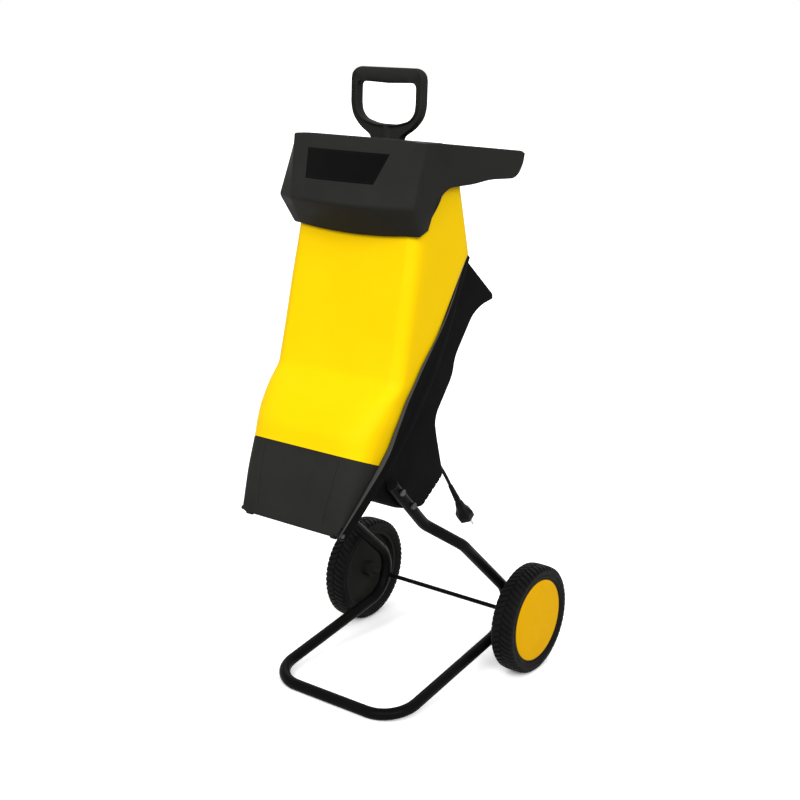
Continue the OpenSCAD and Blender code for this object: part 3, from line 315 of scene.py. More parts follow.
def closed_mesh(name, shape):
    mesh = bpy.data.meshes.new(name)
    mesh.from_pydata([tuple(v) for v in shape.verts], [], shape.faces)
    bm = bmesh.new()
    bm.from_mesh(mesh)
    bmesh.ops.remove_doubles(bm, verts=bm.verts, dist=WELD_GAP)
    bmesh.ops.recalc_face_normals(bm, faces=bm.faces)
    bm.to_mesh(mesh)
    bm.free()
    return mesh


def carved(mesh, cut):
    """The mesh with the shape's solids cut out of it."""
    base = new_object("base", mesh)
    tool = new_object("tool", closed_mesh("tool", cut))
    step = base.modifiers.new("cut", "BOOLEAN")
    step.operation = "DIFFERENCE"
    step.solver = "EXACT"
    step.object = tool
    result = bpy.data.meshes.new_from_object(base.evaluated_get(bpy.context.evaluated_depsgraph_get()))
    for obj in (base, tool):
        bpy.data.objects.remove(obj)
    return result


def joined(mesh, more):
    """The mesh with the shape's solids beside it."""
    bm = bmesh.new()
    bm.from_mesh(mesh)
    bm.from_mesh(closed_mesh("more", more))
    bm.to_mesh(mesh)
    bm.free()


def mesh_piece(name, shape, material, body, replaces=(), sharp=SHARP, cut=None, more=None):
    """Closed solids as one piece of the scene."""
    mesh = closed_mesh(name, shape)
    if cut:
        mesh = carved(mesh, cut)
    if more:
        joined(mesh, more)
    mesh.name = name
    mesh.shade_smooth()
    mesh.set_sharp_from_angle(angle=radians(sharp))
    mesh.materials.append(material)
    obj = new_object(name, mesh)
    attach(obj, body)
    if replaces:
        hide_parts(*replaces)
    return obj


class Shape:
    """Vertices and faces gathered from grids."""

    def __init__(self):
        self.verts = []
        self.faces = []

    def grid(self, rows, around=False, keep=None):
        """Quads over rows of points; keep(k, i) says which of them stay."""
        base = len(self.verts)
        n = len(rows[0])
        for row in rows:
            self.verts.extend(row)
        for k in range(len(rows) - 1):
            low, high = base + k * n, base + (k + 1) * n
            for i in range(n if around else n - 1):
                if keep is None or keep(k, i):
                    j = (i + 1) % n
                    self.faces.append((low + i, low + j, high + j, high + i))

    def strip(self, a, b, around=False):
        self.grid([a, b], around)

    def fan(self, ring):
        base = len(self.verts)
        self.verts.extend(ring)
        self.faces.append(tuple(range(base, base + len(ring))))

    def sheet(self, outer, inner):
        """Two open grids joined along their edges."""
        self.grid(outer)
        self.grid(inner)
        for k in (0, -1):
            self.strip(outer[k], inner[k])
            self.strip([row[k] for row in outer], [row[k] for row in inner])

    def tube(self, rings):
        """A run of rings with both ends filled."""
        self.grid(rings, around=True)
        self.fan(rings[0])
        self.fan(rings[-1])

    def lathe(self, profile, place, caps=True):
        """A turned form: profile of (radius, height), placed by place(x, y, h)."""
        turns = [2 * pi * i / ROUND_STEPS for i in range(ROUND_STEPS)]
        rows = [[place(r * cos(a), r * sin(a), h) for a in turns] for r, h in profile]
        if caps:
            self.tube(rows)
        else:
            self.grid(rows, around=True)


# Places on the seam, shared by the housing and the rear shell

LOCK_S = 243
HINGE_S = -170
HINGE_T = 3
HINGE_R = 8
LUG_X = 92.6
LUG_TOP_S = -159


def span(side, a, b):
    """From a to b on one side of the middle, in rising order."""
    return sorted((side * a, side * b))


def bend(a, b, c, steps):
    """A curve from a to c that heads for b at both ends."""
    shares = [k / steps for k in range(steps + 1)]
    return [a * (1 - f) ** 2 + b * 2 * f * (1 - f) + c * f * f for f in shares]


def rounded(points, setbacks, steps=4):
    """An open line with chosen corners turned to short curves."""
    line = [points[0]]
    for i in range(1, len(points) - 1):
        p = points[i]
        if not setbacks.get(i):
            line.append(p)
            continue
        ways = [q - p for q in (points[i - 1], points[i + 1])]
        start, end = (p + way * min(setbacks[i] / way.length, 0.48) for way in ways)
        line += bend(start, p, end, steps)
    line.append(points[-1])
    return line


def plane_box(shape, x, s, t, turn=0, about=(0, 0)):
    """A box in the seam's frame, turned in the side view about a point."""
    c, n = cos(turn), sin(turn)

    def corner(px, ps, pt):
        return off_seam(px, about[0] + c * ps - n * pt, about[1] + n * ps + c * pt)

    ring = ((x[0], s[0]), (x[1], s[0]), (x[1], s[1]), (x[0], s[1]))
    shape.tube([[corner(px, ps, level) for px, ps in ring] for level in t])


def plane_rod(shape, r, x, s, t):
    """A rod across the seam's frame."""
    shape.lathe([(r, x[0]), (r, x[1])], lambda a, b, h: off_seam(h, s + a, t + b))


def seam_rod(shape, r, s, t):
    """A rod square to the seam."""
    shape.lathe([(r, t[0]), (r, t[1])], lambda a, b, h: off_seam(a, s + b, h))


# The mains lead, along the points of its solid

CORD_KNOTS = [
    (-154.66, 477.77), (-138.7, 465.7), (-127, 456), (-97, 428), (-67, 399), (-39, 369), (-12, 338), (9, 310)]
CORD_D = 6.5
CORD_STEPS = 4
PLUG_WAY = (0.6, -0.8)
SLEEVE_L = 49
SLEEVE_RIBS = 8
RIB_PITCH = 5.6
RIB_UP = 0.25
RIB_DOWN = 1
# The grip's flats: where they start and are full, and their distance as a share of its radius
FLATS_FROM = (54, 72)
FLATS_IN = 0.885


def cord_line(steps):
    """A smooth curve through the lead's points."""
    p = CORD_KNOTS
    before, after = ([2 * u - v for u, v in zip(*pair)] for pair in (p[:2], p[:-3:-1]))
    knots = [before] + p + [after]
    line = []
    for four in zip(knots, knots[1:], knots[2:], knots[3:]):
        for f in spread(0, 1, steps):
            line.append([
                b + f * (c - a) / 2 + f * f * (a - 2.5 * b + 2 * c - d / 2)
                + f ** 3 * (3 * b - a - 3 * c + d) / 2 for a, b, c, d in zip(*four)])
    return line + [p[-1]]


def make_cord():
    line = [at(0, y, z) for y, z in cord_line(CORD_STEPS)]
    curve = bpy.data.curves.new("mains_lead", "CURVE")
    curve.dimensions = "3D"
    curve.bevel_depth = CORD_D / 2 * MM
    curve.bevel_resolution = 5
    curve.use_fill_caps = True
    spline = curve.splines.new("POLY")
    spline.points.add(len(line) - 1)
    for point, place in zip(spline.points, line):
        point.co = (*place, 1)
    spline.use_smooth = True
    curve.materials.append(CORD_SKIN)
    lead = new_object("mains_lead", curve)
    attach(lead, "chassis")
    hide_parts("power_cord")
    length = sum((b - a).length for a, b in zip(line, line[1:]))
    plug = make_plug()
    tuple(line[0])


def make_plug():
    """Plug with a ribbed sleeve and a six-sided grip."""
    start = CORD_KNOTS[-1]

    def place(x, y, h):
        return at(
            x, start[0] + PLUG_WAY[0] * h - PLUG_WAY[1] * y, start[1] + PLUG_WAY[1] * h + PLUG_WAY[0] * y)

    # Radius and height
    profile = [(3.3, 0), (4, 0.4)]
    for rib in range(SLEEVE_RIBS):
        h = 2 + rib * RIB_PITCH
        r = mix(4.2, 6.1, h / SLEEVE_L)
        profile += [(r, h), (r + RIB_UP, h + 0.6), (r + RIB_UP, h + 3)]
        profile += [(r, h + 3.6), (r - RIB_DOWN, h + 3.9), (r - RIB_DOWN, h + 5.3)]
    profile += [(6.2, SLEEVE_L), (7.2, 52), (8.4, 57), (9.4, 62), (10.8, 69)]
    profile += [(12.8, 75), (15.2, 80), (16.8, 83.6), (17, 85)]
    profile += [(17, 96.2), (16.6, 97.4), (15.6, 98)]
    count = 72
    rows = []
    for r, h in profile:
        flat = smoothstep(*FLATS_FROM, h)
        row = []
        for i in range(count):
            a = 2 * pi * (i + 0.5) / count
            turn = (a + pi / 6) % (pi / 3) - pi / 6
            side = mix(1, min(1, FLATS_IN / cos(turn)), flat)
            row.append(place(r * side * cos(a), r * side * sin(a), h))
        rows.append(row)
    shape = Shape()
    shape.tube(rows)
    return mesh_piece("plug_moulding", shape, CORD_SKIN, "chassis", ("plug_body",), 40)


make_cord()


# Skins of the feed housing

SEAM_TOP_Z = 778.1
COLLAR_Z = 905
FOOT_Z = 362
SPLIT_Z = 484
SPLIT_Y = -425
SPLIT_FALL = tan(radians(20.5))
SPLIT_ROUNDS = 40
# Height, half width, front, squareness, rear rounding
SKIN = [
    (FOOT_Z, 100, -456, 5, 2), (423, 111.6, -443.6, 4.6, 2), (SPLIT_Z, 121, SPLIT_Y, 4.2, 2),
    (508.5, 124, -419, 4.2, 2), (533, 127, -404, 4.6, 2), (561.5, 128.5, -381, 5.6, 2),
    (590, 130, -346, 9, 4), (606, 129.66, -341.2, 11, 5.2),
    (SEAM_TOP_Z, 126, -305.8, 16, 24), (COLLAR_Z, 119, -280, 16, 21)]
SKIN_LINES = [smooth_line([row[0] for row in SKIN], [row[k] for row in SKIN]) for k in range(1, 5)]
COLUMN_BACK = -165
WALL = 3.5
MOUTH_X = 91.5
MOUTH_S = 104
MOUTH_Z = CUT_Z + MOUTH_S * cos(LEAN)
# The front's fold: how far back its edges go, from what share of the width, and where it fades in
FOLD = 5
FOLD_AT = 0.855
FOLD_Z = (525, 575)
FOLD_TURN = (30, 44)
FOLD_ANGLES = (48.8, 49.2, 49.4, 49.6, 49.8, 50.2)
# Angles between which the front turns its corner
CORNER = (36, 54)
LOCK_BORE = 8.1
LOCK_BOSS = 13
LOCK_BOSS_T = (1.2, 15.5)


def skin_at(column, z, wall):
    """The skin's x and y at a height, for one column of the grid."""
    kind, u = column
    half, front, square, rounding = (line(z) for line in SKIN_LINES)
    half -= wall
    front += wall
    if z <= SEAM_TOP_Z:
        back = seam_y(z) - wall / cos(LEAN)
    else:
        f = (z - SEAM_TOP_Z) / (COLLAR_Z - SEAM_TOP_Z)
        back = mix(seam_y(SEAM_TOP_Z) - wall / cos(LEAN), COLUMN_BACK - wall, f)
    if wall:
        rounding -= 1
    if kind == "back":
        return u, back
    if kind == "lip":
        return u * half, back
    if kind == "turn":
        side = 1 if u > 0 else -1
        a = abs(u)
        return side * (half - rounding + rounding * cos(a)), back - rounding + rounding * sin(a)
    c, s = cos(u), sin(u)
    reach = (abs(c) ** square + abs(s) ** square) ** (-1 / square)
    return half * reach * c, back - rounding - (back - rounding - front) * reach * s


def split_height(column, wall):
    """Where a column of the skin meets the sloping split line."""
    z = SPLIT_Z
    for _ in range(SPLIT_ROUNDS):
        z = SPLIT_Z - SPLIT_FALL * (skin_at(column, z, wall)[1] - SPLIT_Y)
    return z


def face_angles(extra=()):
    """Angles round the front, closer together at its corners."""
    low, high = CORNER
    steps = spread(0, low, 9) + spread(low, high, 18) + spread(high, 90, 9) + list(extra)
    half = sorted(set(round(v, 4) for v in steps))
    return [radians(v) for v in half + [90] + [180 - v for v in reversed(half)]]


def face_turn(column):
    """A column's angle round the front from the nearer side, in degrees."""
    return degrees(min(column[1], pi - column[1]))


def folded(column, z, wall):
    """A point of the housing, its front folded back a little outside two upright lines."""
    x, y = skin_at(column, z, wall)
    if column[0] == "face":
        share = abs(x) / (SKIN_LINES[0](z) - wall)
        outside = max(0, (share - FOLD_AT) / (1 - FOLD_AT))
        y += FOLD * outside * smoothstep(*FOLD_Z, z) * smoothstep(*FOLD_TURN, face_turn(column))
    return at(x, y, z)


def make_housing():
    turns = [radians(v) for v in range(15, 91, 15)]
    columns = [("back", MOUTH_X)]
    columns += [("turn", a) for a in reversed(turns)]
    columns += [("face", a) for a in face_angles(FOLD_ANGLES)]
    columns += [("turn", -a) for a in turns]
    left_edge = len(columns)
    columns += [("back", x) for x in spread(-MOUTH_X, MOUTH_X, 8)]
    heights = spread(COLLAR_Z, SEAM_TOP_Z, 8) + spread(SEAM_TOP_Z, MOUTH_Z, 24)
    mouth_row = len(heights)
    below = [f / 22 for f in range(23)]

    def rows(wall):
        lows = [split_height(c, wall) for c in columns]
        grid = [[folded(c, z, wall) for c in columns] for z in heights]
        grid += [[folded(c, mix(MOUTH_Z, low, f), wall) for c, low in zip(columns, lows)] for f in below]
        return grid

    def solid(k, i):
        return not (i >= left_edge and k >= mouth_row)

    outer, inner = rows(0), rows(WALL)
    shape = Shape()
    shape.grid(outer, around=True, keep=solid)
    shape.grid(inner, around=True, keep=solid)
    shape.strip(outer[0], inner[0], around=True)
    shape.strip(outer[-1][:left_edge + 1], inner[-1][:left_edge + 1])
    for i in (0, left_edge):
        shape.strip([row[i] for row in outer[mouth_row:]], [row[i] for row in inner[mouth_row:]])
    ring = list(range(left_edge, len(columns))) + [0]
    shape.strip([outer[mouth_row][i] for i in ring], [inner[mouth_row][i] for i in ring])
    hole, boss = Shape(), Shape()
    seam_rod(hole, LOCK_BORE, LOCK_S, (-6, 2))
    near, far = LOCK_BOSS_T
    boss.lathe(
        [(LOCK_BORE, near), (LOCK_BOSS, near), (LOCK_BOSS, far), (LOCK_BORE, far), (LOCK_BORE, near)],
        lambda a, b, h: off_seam(a, LOCK_S + b, -h), caps=False)
    mesh_piece(
        "housing_shell", shape, YELLOW, "feed_housing", ("front_housing",),
        cut=hole, more=boss)


make_housing()


# Front panel

PANEL_GAP = 0.5
# The sunk field: angle of its side grooves, their half width in degrees, and the depths
GROOVE = 56
GROOVE_HALF = 1.1
GROOVE_DEEP = 2.2
FIELD_DEEP = 1.3
# How far the top and bottom edges turn in
EASE = 0.9
KNUCKLE_X = (84.3, 92.4)


def make_panel():
    """Panel with a sunk field between two grooves."""
    near = [GROOVE + d for d in (-1.8, -1.1, -0.55, 0, 0.55, 1.1, 1.8, 3)]
    columns = [("lip", 1)] + [("face", a) for a in face_angles(near)] + [("lip", -1)]

    def sink(column, f):
        if column[0] == "lip":
            return 0
        turn = face_turn(column)
        field = smoothstep(GROOVE - 0.4, GROOVE + 1.5, turn)
        field = field * smoothstep(0, 0.05, f) * (1 - smoothstep(0.72, 0.9, f))
        groove = max(0, 1 - abs(turn - GROOVE) / GROOVE_HALF)
        groove = groove * smoothstep(0.06, 0.1, f) * (1 - smoothstep(0.84, 0.9, f))
        return FIELD_DEEP * field + GROOVE_DEEP * groove

    shares = [0, 0.012, 0.03, 0.06, 0.1] + [0.1 + 0.86 * k / 20 for k in range(1, 21)] + [0.985, 1]

    def rows(wall):
        grid = []
        for f in shares:
            row = []
            for c in columns:
                high = split_height(c, wall) - PANEL_GAP
                z = mix(high, FOOT_Z, f)
                x, y = skin_at(c, z, wall)
                if not wall:
                    y += sink(c, f)
                    ease = max(0, 1 - f / 0.012) * EASE + max(0, (f - 0.985) / 0.015) * EASE
                    x -= ease * (1 if x > 0 else -1)
                    y += ease if c[0] == "face" else 0
                row.append(at(x, y, z))
            grid.append(row)
        return grid

    shape, rest, cut = Shape(), Shape(), Shape()
    shape.sheet(rows(0), rows(WALL))
    for side in (1, -1):
        knuckle = span(side, *KNUCKLE_X)
        plane_rod(rest, HINGE_R, knuckle, HINGE_S, HINGE_T)
        plane_box(rest, knuckle, (HINGE_S, HINGE_S + 8), (-6, 0))
        plane_box(cut, span(side, LUG_X, 140), (-220, LUG_TOP_S), (-6, 20))
    mesh_piece(
        "panel_shell", shape, BLACK, "feed_housing", ("discharge_panel",), 32, cut, rest)


make_panel()


# Hood

HOOD_TOP_Z = 967
HOOD_MID_Z = 866
HOOD_SLOPE = tan(radians(5.4))
HOOD_TOP_Y = -305
ARM_X = 134
ARM_T = 13
HOOD_WALL = 3.5
# Front at the middle, its bow, half width of the face, corner, half width at the side
HOOD_TOP = (-306.5, 3, 122.5, -283, 132)
HOOD_MID = (-361, 14, 92, -325, 135.5)
HOOD_FOOT = (-305.5, 2, 106, -296, 127.5)
# Distances along the side, from the arm's nose to the corner
SIDE_Y = (
    [-3.2, -4, -5, -6.5, -8.5, -11, -14, -18, -22, -28, -36] + [-36 - 14.5 * k for k in range(1, 13)]
    + [-217, -223, -229, -235, -241, -247, -253, -259, -265, -272])
ARM_FOOT = smooth_line(
    [-284, -272, -260, -245, -217, -160, -100, -36, -22, -6, -3],
    [805, 826, 856, 881, 891, 892, 896, 894, 899, 919, 934])
ARM_FOOT_FROM = -272.5
# Where the sides flare out to the arms, and where the wall thickens into them
FLARE_Y = (-245, -195)
THICK_Y = (-252, -228)
THICK_Z = (880, 893)
# A dip in the top edge at the front corners: depth, place and spread
DIP = 2.4
DIP_X = 128
DIP_Y = -296
DIP_SPREAD = 500
NOSE_DROP = 3.5
NOSE_Y = -14
NOSE_L = 11
SKIRT_Z = 813
SKIRT_RISE = 6
CORNER_ROUND = (4, 5)
# Shares of the edge's radius, down the face and inward
EDGE_CURL = ((0, 1), (0.13, 0.5), (0.5, 0.13))


def hood_plan(front, bow, face, corner, side):
    """One level of the hood seen from above, from the right arm's nose to the left one's."""
    shares = [0, 0.16, 0.32, 0.48, 0.62, 0.75, 0.86]
    half = [Vector((face * w, front + bow * w * w)) for w in shares]
    half += [Vector((face, front + bow)), Vector((side, corner))]
    half += [Vector((mix(side, ARM_X, smoothstep(*FLARE_Y, y)), y)) for y in reversed(SIDE_Y)]
    half = rounded(half, {len(shares) + k: r for k, r in enumerate(CORNER_ROUND)})
    return list(reversed(half)) + [Vector((-p.x, p.y)) for p in half[1:]]


class Hood:
    """The hood's outer face by column and height."""

    def __init__(self):
        self.top, self.mid, self.foot = (hood_plan(*level) for level in (HOOD_TOP, HOOD_MID, HOOD_FOOT))
        self.count = len(self.top)
        self.high = []
        self.low = []
        for p, q in zip(self.top, self.foot):
            dip = DIP * exp(-((abs(p.x) - DIP_X) ** 2 + (p.y - DIP_Y) ** 2) / DIP_SPREAD)
            nose = NOSE_DROP * (max(p.y - NOSE_Y, 0) / NOSE_L) ** 2
            self.high.append(HOOD_TOP_Z - HOOD_SLOPE * (p.y - HOOD_TOP_Y) - dip - nose)
            foot = SKIRT_Z + SKIRT_RISE * min(abs(q.x) / HOOD_FOOT[2], 1) ** 2
            self.low.append(max(foot, ARM_FOOT(p.y)) if p.y > ARM_FOOT_FROM else foot)

    def at(self, i, z):
        if z >= HOOD_MID_Z:
            return self.mid[i].lerp(self.top[i], (z - HOOD_MID_Z) / (HOOD_TOP_Z - HOOD_MID_Z))
        low = min(self.low[i], HOOD_MID_Z - 20)
        return self.foot[i].lerp(self.mid[i], (z - low) / (HOOD_MID_Z - low))

    def inset(self, i, z, w):
        """The place w inside the outer face."""
        a = self.at(max(i - 1, 0), z)
        b = self.at(min(i + 1, self.count - 1), z)
        way = (b - a).normalized()
        p = self.at(i, z)
        return at(p.x + way.y * w, p.y - way.x * w, z)

    def column(self, i):
        """Outside from the top down, then inside from the foot up."""
        top, low = self.high[i], self.low[i]
        tall = top - low
        r = min(2.4, 0.3 * tall)
        turn = min(4.5, 0.2 * tall)
        mid = mix(HOOD_MID_Z, low + 0.4 * tall, smoothstep(828, HOOD_MID_Z, low))
        points = [self.inset(i, top - down * r, inward * r) for down, inward in EDGE_CURL]
        points += [self.inset(i, mix(top - r, mid + turn, k / 7), 0) for k in range(7)]
        points += bend(*(self.inset(i, z, 0) for z in (mid + turn, mid, mid - turn)), 5)
        points += [self.inset(i, mix(mid - turn, low + r, k / 5), 0) for k in range(1, 6)]
        points += [self.inset(i, low + up * r, inward * r) for up, inward in reversed(EDGE_CURL)]
        for k in range(9):
            z = mix(low, top, k / 8)
            y = self.at(i, z).y
            thick = HOOD_WALL + (ARM_T - HOOD_WALL) * smoothstep(*THICK_Y, y) * smoothstep(*THICK_Z, z)
            points.append(self.inset(i, z, thick))
        return points


DECK_Z = (944, 948)
DECK_ROUND = 1
# The deck's edge: share of the hood's width, and how far it stays behind the front
DECK_IN = 0.985
DECK_BACK = 2.5
DECK_FRONT_Y = -270
TINY = 1e-6
BACK_Z = (891, 953)
BACK_ROUND = 1.4
GRIP_R = 9
GRIP_HALF = 123
GRIP_Y = -20
GRIP_Z = 914
HOOD_BACK = -159.5
THROAT = (75.5, 37.5)
PUSHER_Y = -213


def add_box(shape, low, high, r):
    """A box with rounded edges."""
    bm = bmesh.new()
    bmesh.ops.create_cube(bm, size=1.0)
    for v in bm.verts:
        v.co = at(*(mix(low[k], high[k], v.co[k] + 0.5) for k in range(3)))
    bmesh.ops.bevel(bm, geom=list(bm.edges), offset=r * MM, segments=3, profile=0.5, affect="EDGES")
    base = len(shape.verts)
    bm.verts.index_update()
    shape.verts.extend(v.co.copy() for v in bm.verts)
    shape.faces.extend(tuple(base + v.index for v in f.verts) for f in bm.faces)
    bm.free()


def make_hood():
    hood = Hood()
    shape = Shape()
    shape.tube([hood.column(i) for i in range(hood.count)])
    # Deck round the throat
    rim = [i for i in range(hood.count) if hood.top[i].y < HOOD_BACK - 4]
    low, high = DECK_Z
    middle = Vector((0, PUSHER_Y))
    rings = []
    for i in rim:
        ring = []
        for z, outside in ((high, True), (high, False), (low, False), (low, True)):
            p = hood.at(i, z)
            away = Vector((p.x * DECK_IN, p.y + DECK_BACK * (p.y < DECK_FRONT_Y))) - middle
            hole = min(THROAT[0] / max(abs(away.x), TINY), THROAT[1] / max(abs(away.y), TINY))
            spot = middle + away * (1 if outside else hole)
            ring.append(at(spot.x, spot.y, z))
        rings.append(ring)
    shape.tube(rings)
    # Deck behind and beside the throat, the back wall and the bar inside the grip
    add_box(
        shape, (6 - ARM_X, PUSHER_Y + THROAT[1], low + 0.8), (ARM_X - 6, HOOD_BACK + 2, high - 0.8),
        DECK_ROUND)
    wing = ARM_X - 5 - THROAT[0]
    for x in (THROAT[0], 5 - ARM_X):
        add_box(
            shape, (x, PUSHER_Y + 22, low + 0.5), (x + wing, HOOD_BACK + 3, high - 0.5), DECK_ROUND)
    add_box(
        shape, (-ARM_X + 5, HOOD_BACK - 0.4, BACK_Z[0]), (ARM_X - 5, HOOD_BACK + 3.5, BACK_Z[1]), BACK_ROUND)
    shape.lathe([(GRIP_R, -GRIP_HALF), (GRIP_R, GRIP_HALF)], lambda x, y, h: at(h, GRIP_Y + x, GRIP_Z + y))
    mesh_piece("hood_shell", shape, BLACK, "feed_housing", ("top_hood",), 38)
    make_plate()


PLATE_Z = (898.5, 945)
PLATE_HALF = (68, 82)
PLATE_WAY = Vector((0, -0.893, 0.45))
FIELD_LIFT = 0.2
# Distance in from the plate's edge, and height over the hood
PLATE_BORDER = ((0, -0.6), (0.5, 0.75), (2.2, 0.9), (3, FIELD_LIFT))


def plate_strips(length, steps):
    """Shares of the plate's length with their heights, from border to border."""
    near = [(d / length, h) for d, h in PLATE_BORDER]
    far = [(1 - d / length, h) for d, h in reversed(PLATE_BORDER)]
    return near + [(k / steps, FIELD_LIFT) for k in range(1, steps)] + far


def plate_lift(a, b):
    """Height where an upright and a level strip cross."""
    low, high = sorted((a, b))
    return high if low == FIELD_LIFT else low


def make_plate():
    """A bare black field in a thin bevelled frame, on the hood's bowed face."""
    ups = plate_strips(PLATE_Z[1] - PLATE_Z[0], 2)
    sides = plate_strips(2 * PLATE_HALF[0], 10)
    front, back = [], []
    for v, hv in ups:
        z = mix(PLATE_Z[0], PLATE_Z[1], v)
        rise = (z - HOOD_MID_Z) / (HOOD_TOP_Z - HOOD_MID_Z)
        y0, bow, face = (mix(HOOD_MID[k], HOOD_TOP[k], rise) for k in range(3))
        half = mix(PLATE_HALF[0], PLATE_HALF[1], v)
        across = [mix(-half, half, u) for u, _ in sides]
        spots = [at(x, y0 + bow * (x / face) ** 2, z) for x in across]
        front.append([p + PLATE_WAY * plate_lift(h, hv) * MM for p, (_, h) in zip(spots, sides)])
        back.append([p - PLATE_WAY * MM for p in spots])
    shape = Shape()
    shape.sheet(front, back)
    mesh_piece("plate_field", shape, PLATE_BLACK, "feed_housing", ("rating_plate",), 25)


make_hood()


# Rear shell

SHELL_W = 198
SHELL_BACK_W = 182
BULGE_T = 228
RIM_T = 20
LIP_H = 1.2
LIP_GAP = 1.8
RUN_GAP = 0.6
SHELL_WALL = 3.5
SEAM_UP = 347
SEAM_DOWN = 174
# The shell from the side: up the seam, and behind it
SHELL_LINE = [
    (SEAM_UP, RUN_GAP), (SEAM_UP, 146), (340, 153), (313, 127), (295, 120.5), (279, 117), (205, 117),
    (178, 132), (106, 132.3), (91, 139), (77, 157), (57, 187), (30, BULGE_T), (-42, 204), (-72, 137),
    (-88, 62), (-95, 22), (-95, RUN_GAP)]
SHELL_TURNS = dict(enumerate((4, 4, 14, 9, 9, 14, 14, 7, 7, 10, 12, 13, 8, 14, 14, 8), 1))
SHELL_ROUND = 9
LIP_ROUND = 3.5
SWITCH_S = 139
GLAND_S = 96
RIM_EDGE = smooth_line(
    [-SEAM_DOWN, -100, -21.3, 40.1, 111.4, SEAM_UP], [103.5, 118, 131.5, 136.5, 137.5, 109])
# How far the rim's flange stands in front of the seam, beside the feed housing
FLANGE_RISE = smooth_line(
    [-SEAM_DOWN, -60, -21, 20, 70, 110, 180, 250, 310, SEAM_UP], [0, 0, 3, 13, 19, 19, 11, 6, 1, 0])
FLANGE_END = 326
FLANGE_STEPS = 60
LEG_BOLTS = ((-56.1, 86), (-62, 130))
LEG_BOSS_R = 9
LEDGES = (-58, 96)
# The corner of the shell's line where the vents' face starts
VENT_CORNER = 12
VENT_STEPS = 5
VENT_PITCH = 12.5
VENT_START = 13
VENT_W = 5
# Half the middle vents' length, how far the side vents reach in, and half their cutters' height
VENT_HALF = 48
VENT_SIDE = 24
VENT_DEEP = 8
SWITCH_HALF = (29, 30)
SWITCH_T = (116, 152)
LOCK_HOLE_R = 5.5
GLAND_R = 6
CHAMBER_S = -86
# The rim's inner edge beside the hinge, the front panel and the feed housing
RIM_INNER = (LUG_X, 84, 94)
# Below this the rim's foot is rounded off
RIM_FOOT_S = -171


def flank(t):
    """Half the shell's width at a distance behind the seam."""
    return SHELL_W / 2 - (SHELL_W - SHELL_BACK_W) / 2 * t / BULGE_T


def shell_skin(wall):
    """One skin of the shell: a strip across the back, rounded into two flat sides."""
    path = rounded([Vector(p) for p in SHELL_LINE], SHELL_TURNS, 5)
    steps = 5
    rows = []
    for k, p in enumerate(path):
        way = (path[min(k + 1, len(path) - 1)] - path[max(k - 1, 0)]).normalized()
        inward = Vector((-way.y, way.x))
        r = mix(SHELL_ROUND, LIP_ROUND, smoothstep(285, 315, p.x)) - wall * 0.9
        right = []
        for j in range(steps + 1):
            b = pi / 2 * (1 - j / steps)
            q = p + inward * (wall + r * (1 - cos(b)))
            right.append((flank(q.y) - wall - r + r * sin(b), q))
        edge, q = right[-1]
        right += [(edge * (1 - j / 4), q) for j in range(1, 4)]
        row = right + [(0, q)] + [(-x, q) for x, q in reversed(right)]
        rows.append([off_seam(x, q.x, q.y) for x, q in row])
    return rows


def shell_cuts():
    """Vents low on the back of the bulge and the holes for lock, switch and lead."""
    cut = Shape()
    top, foot = (Vector(p) for p in SHELL_LINE[VENT_CORNER:VENT_CORNER + 2])
    turn = atan2(foot.y - top.y, foot.x - top.x)
    for i in range(VENT_STEPS):
        p = top.lerp(foot, (VENT_START + i * VENT_PITCH) / (foot - top).length)
        edge = flank(p.y)
        for x in ((-VENT_HALF, VENT_HALF), (edge - VENT_SIDE, edge + 6), (-edge - 6, VENT_SIDE - edge)):
            plane_box(cut, x, (-VENT_W / 2, VENT_W / 2), (-VENT_DEEP, VENT_DEEP), turn, p)
    wide, tall = SWITCH_HALF
    plane_box(cut, (-wide, wide), (SWITCH_S - tall, SWITCH_S + tall), SWITCH_T)
    seam_rod(cut, LOCK_HOLE_R, LOCK_S, (97, 127))
    seam_rod(cut, GLAND_R, GLAND_S, (112, 142))
    return cut


def rim_bar(shape, side):
    """One arm of the rim, with a rounded outer edge."""
    marks = [-SEAM_DOWN, -173.2, RIM_FOOT_S, LUG_TOP_S - 0.2, LUG_TOP_S, -140, -120, -100]
    marks += [CHAMBER_S - 0.2, CHAMBER_S]
    marks += [mix(CHAMBER_S, SEAM_UP, k / 36) for k in range(1, 37)]
    rows = []
    for s in marks:
        out = RIM_EDGE(s) - max(0, RIM_FOOT_S - s) ** 2 * 0.25
        inner = RIM_INNER[(s > LUG_TOP_S - 0.1) + (s > CHAMBER_S - 0.1)]
        section = [
            (inner, RUN_GAP), (out - 2, RUN_GAP), (out - 0.6, 1.2), (out, 2.6), (out, 17.5),
            (out - 0.6, 19.3), (out - 2, RIM_T), (inner, RIM_T)]
        rows.append([off_seam(side * x, s, t) for x, t in section])
    shape.tube(rows)


def make_rear_shell():
    shape = Shape()
    outer, inner = shell_skin(0), shell_skin(SHELL_WALL)
    for rows in (outer, inner):
        shape.grid(rows)
        for k in (0, -1):
            shape.fan([row[k] for row in rows])
    for k in (0, -1):
        shape.strip(outer[k], inner[k])
        shape.strip([outer[0][k], outer[-1][k]], [inner[0][k], inner[-1][k]])
    rest = Shape()
    for side in (1, -1):
        rim_bar(rest, side)
        for s, t in LEG_BOLTS:
            plane_rod(rest, LEG_BOSS_R, span(side, 82.5, 98.8), s, t)
        for s in LEDGES:
            plane_box(rest, span(side, 75, 96), (s - 8, s + 8), (28, 46))
    mesh_piece(
        "shell_skin", shape, SHELL, "chassis", ("rear_shell",), cut=shell_cuts(), more=rest)


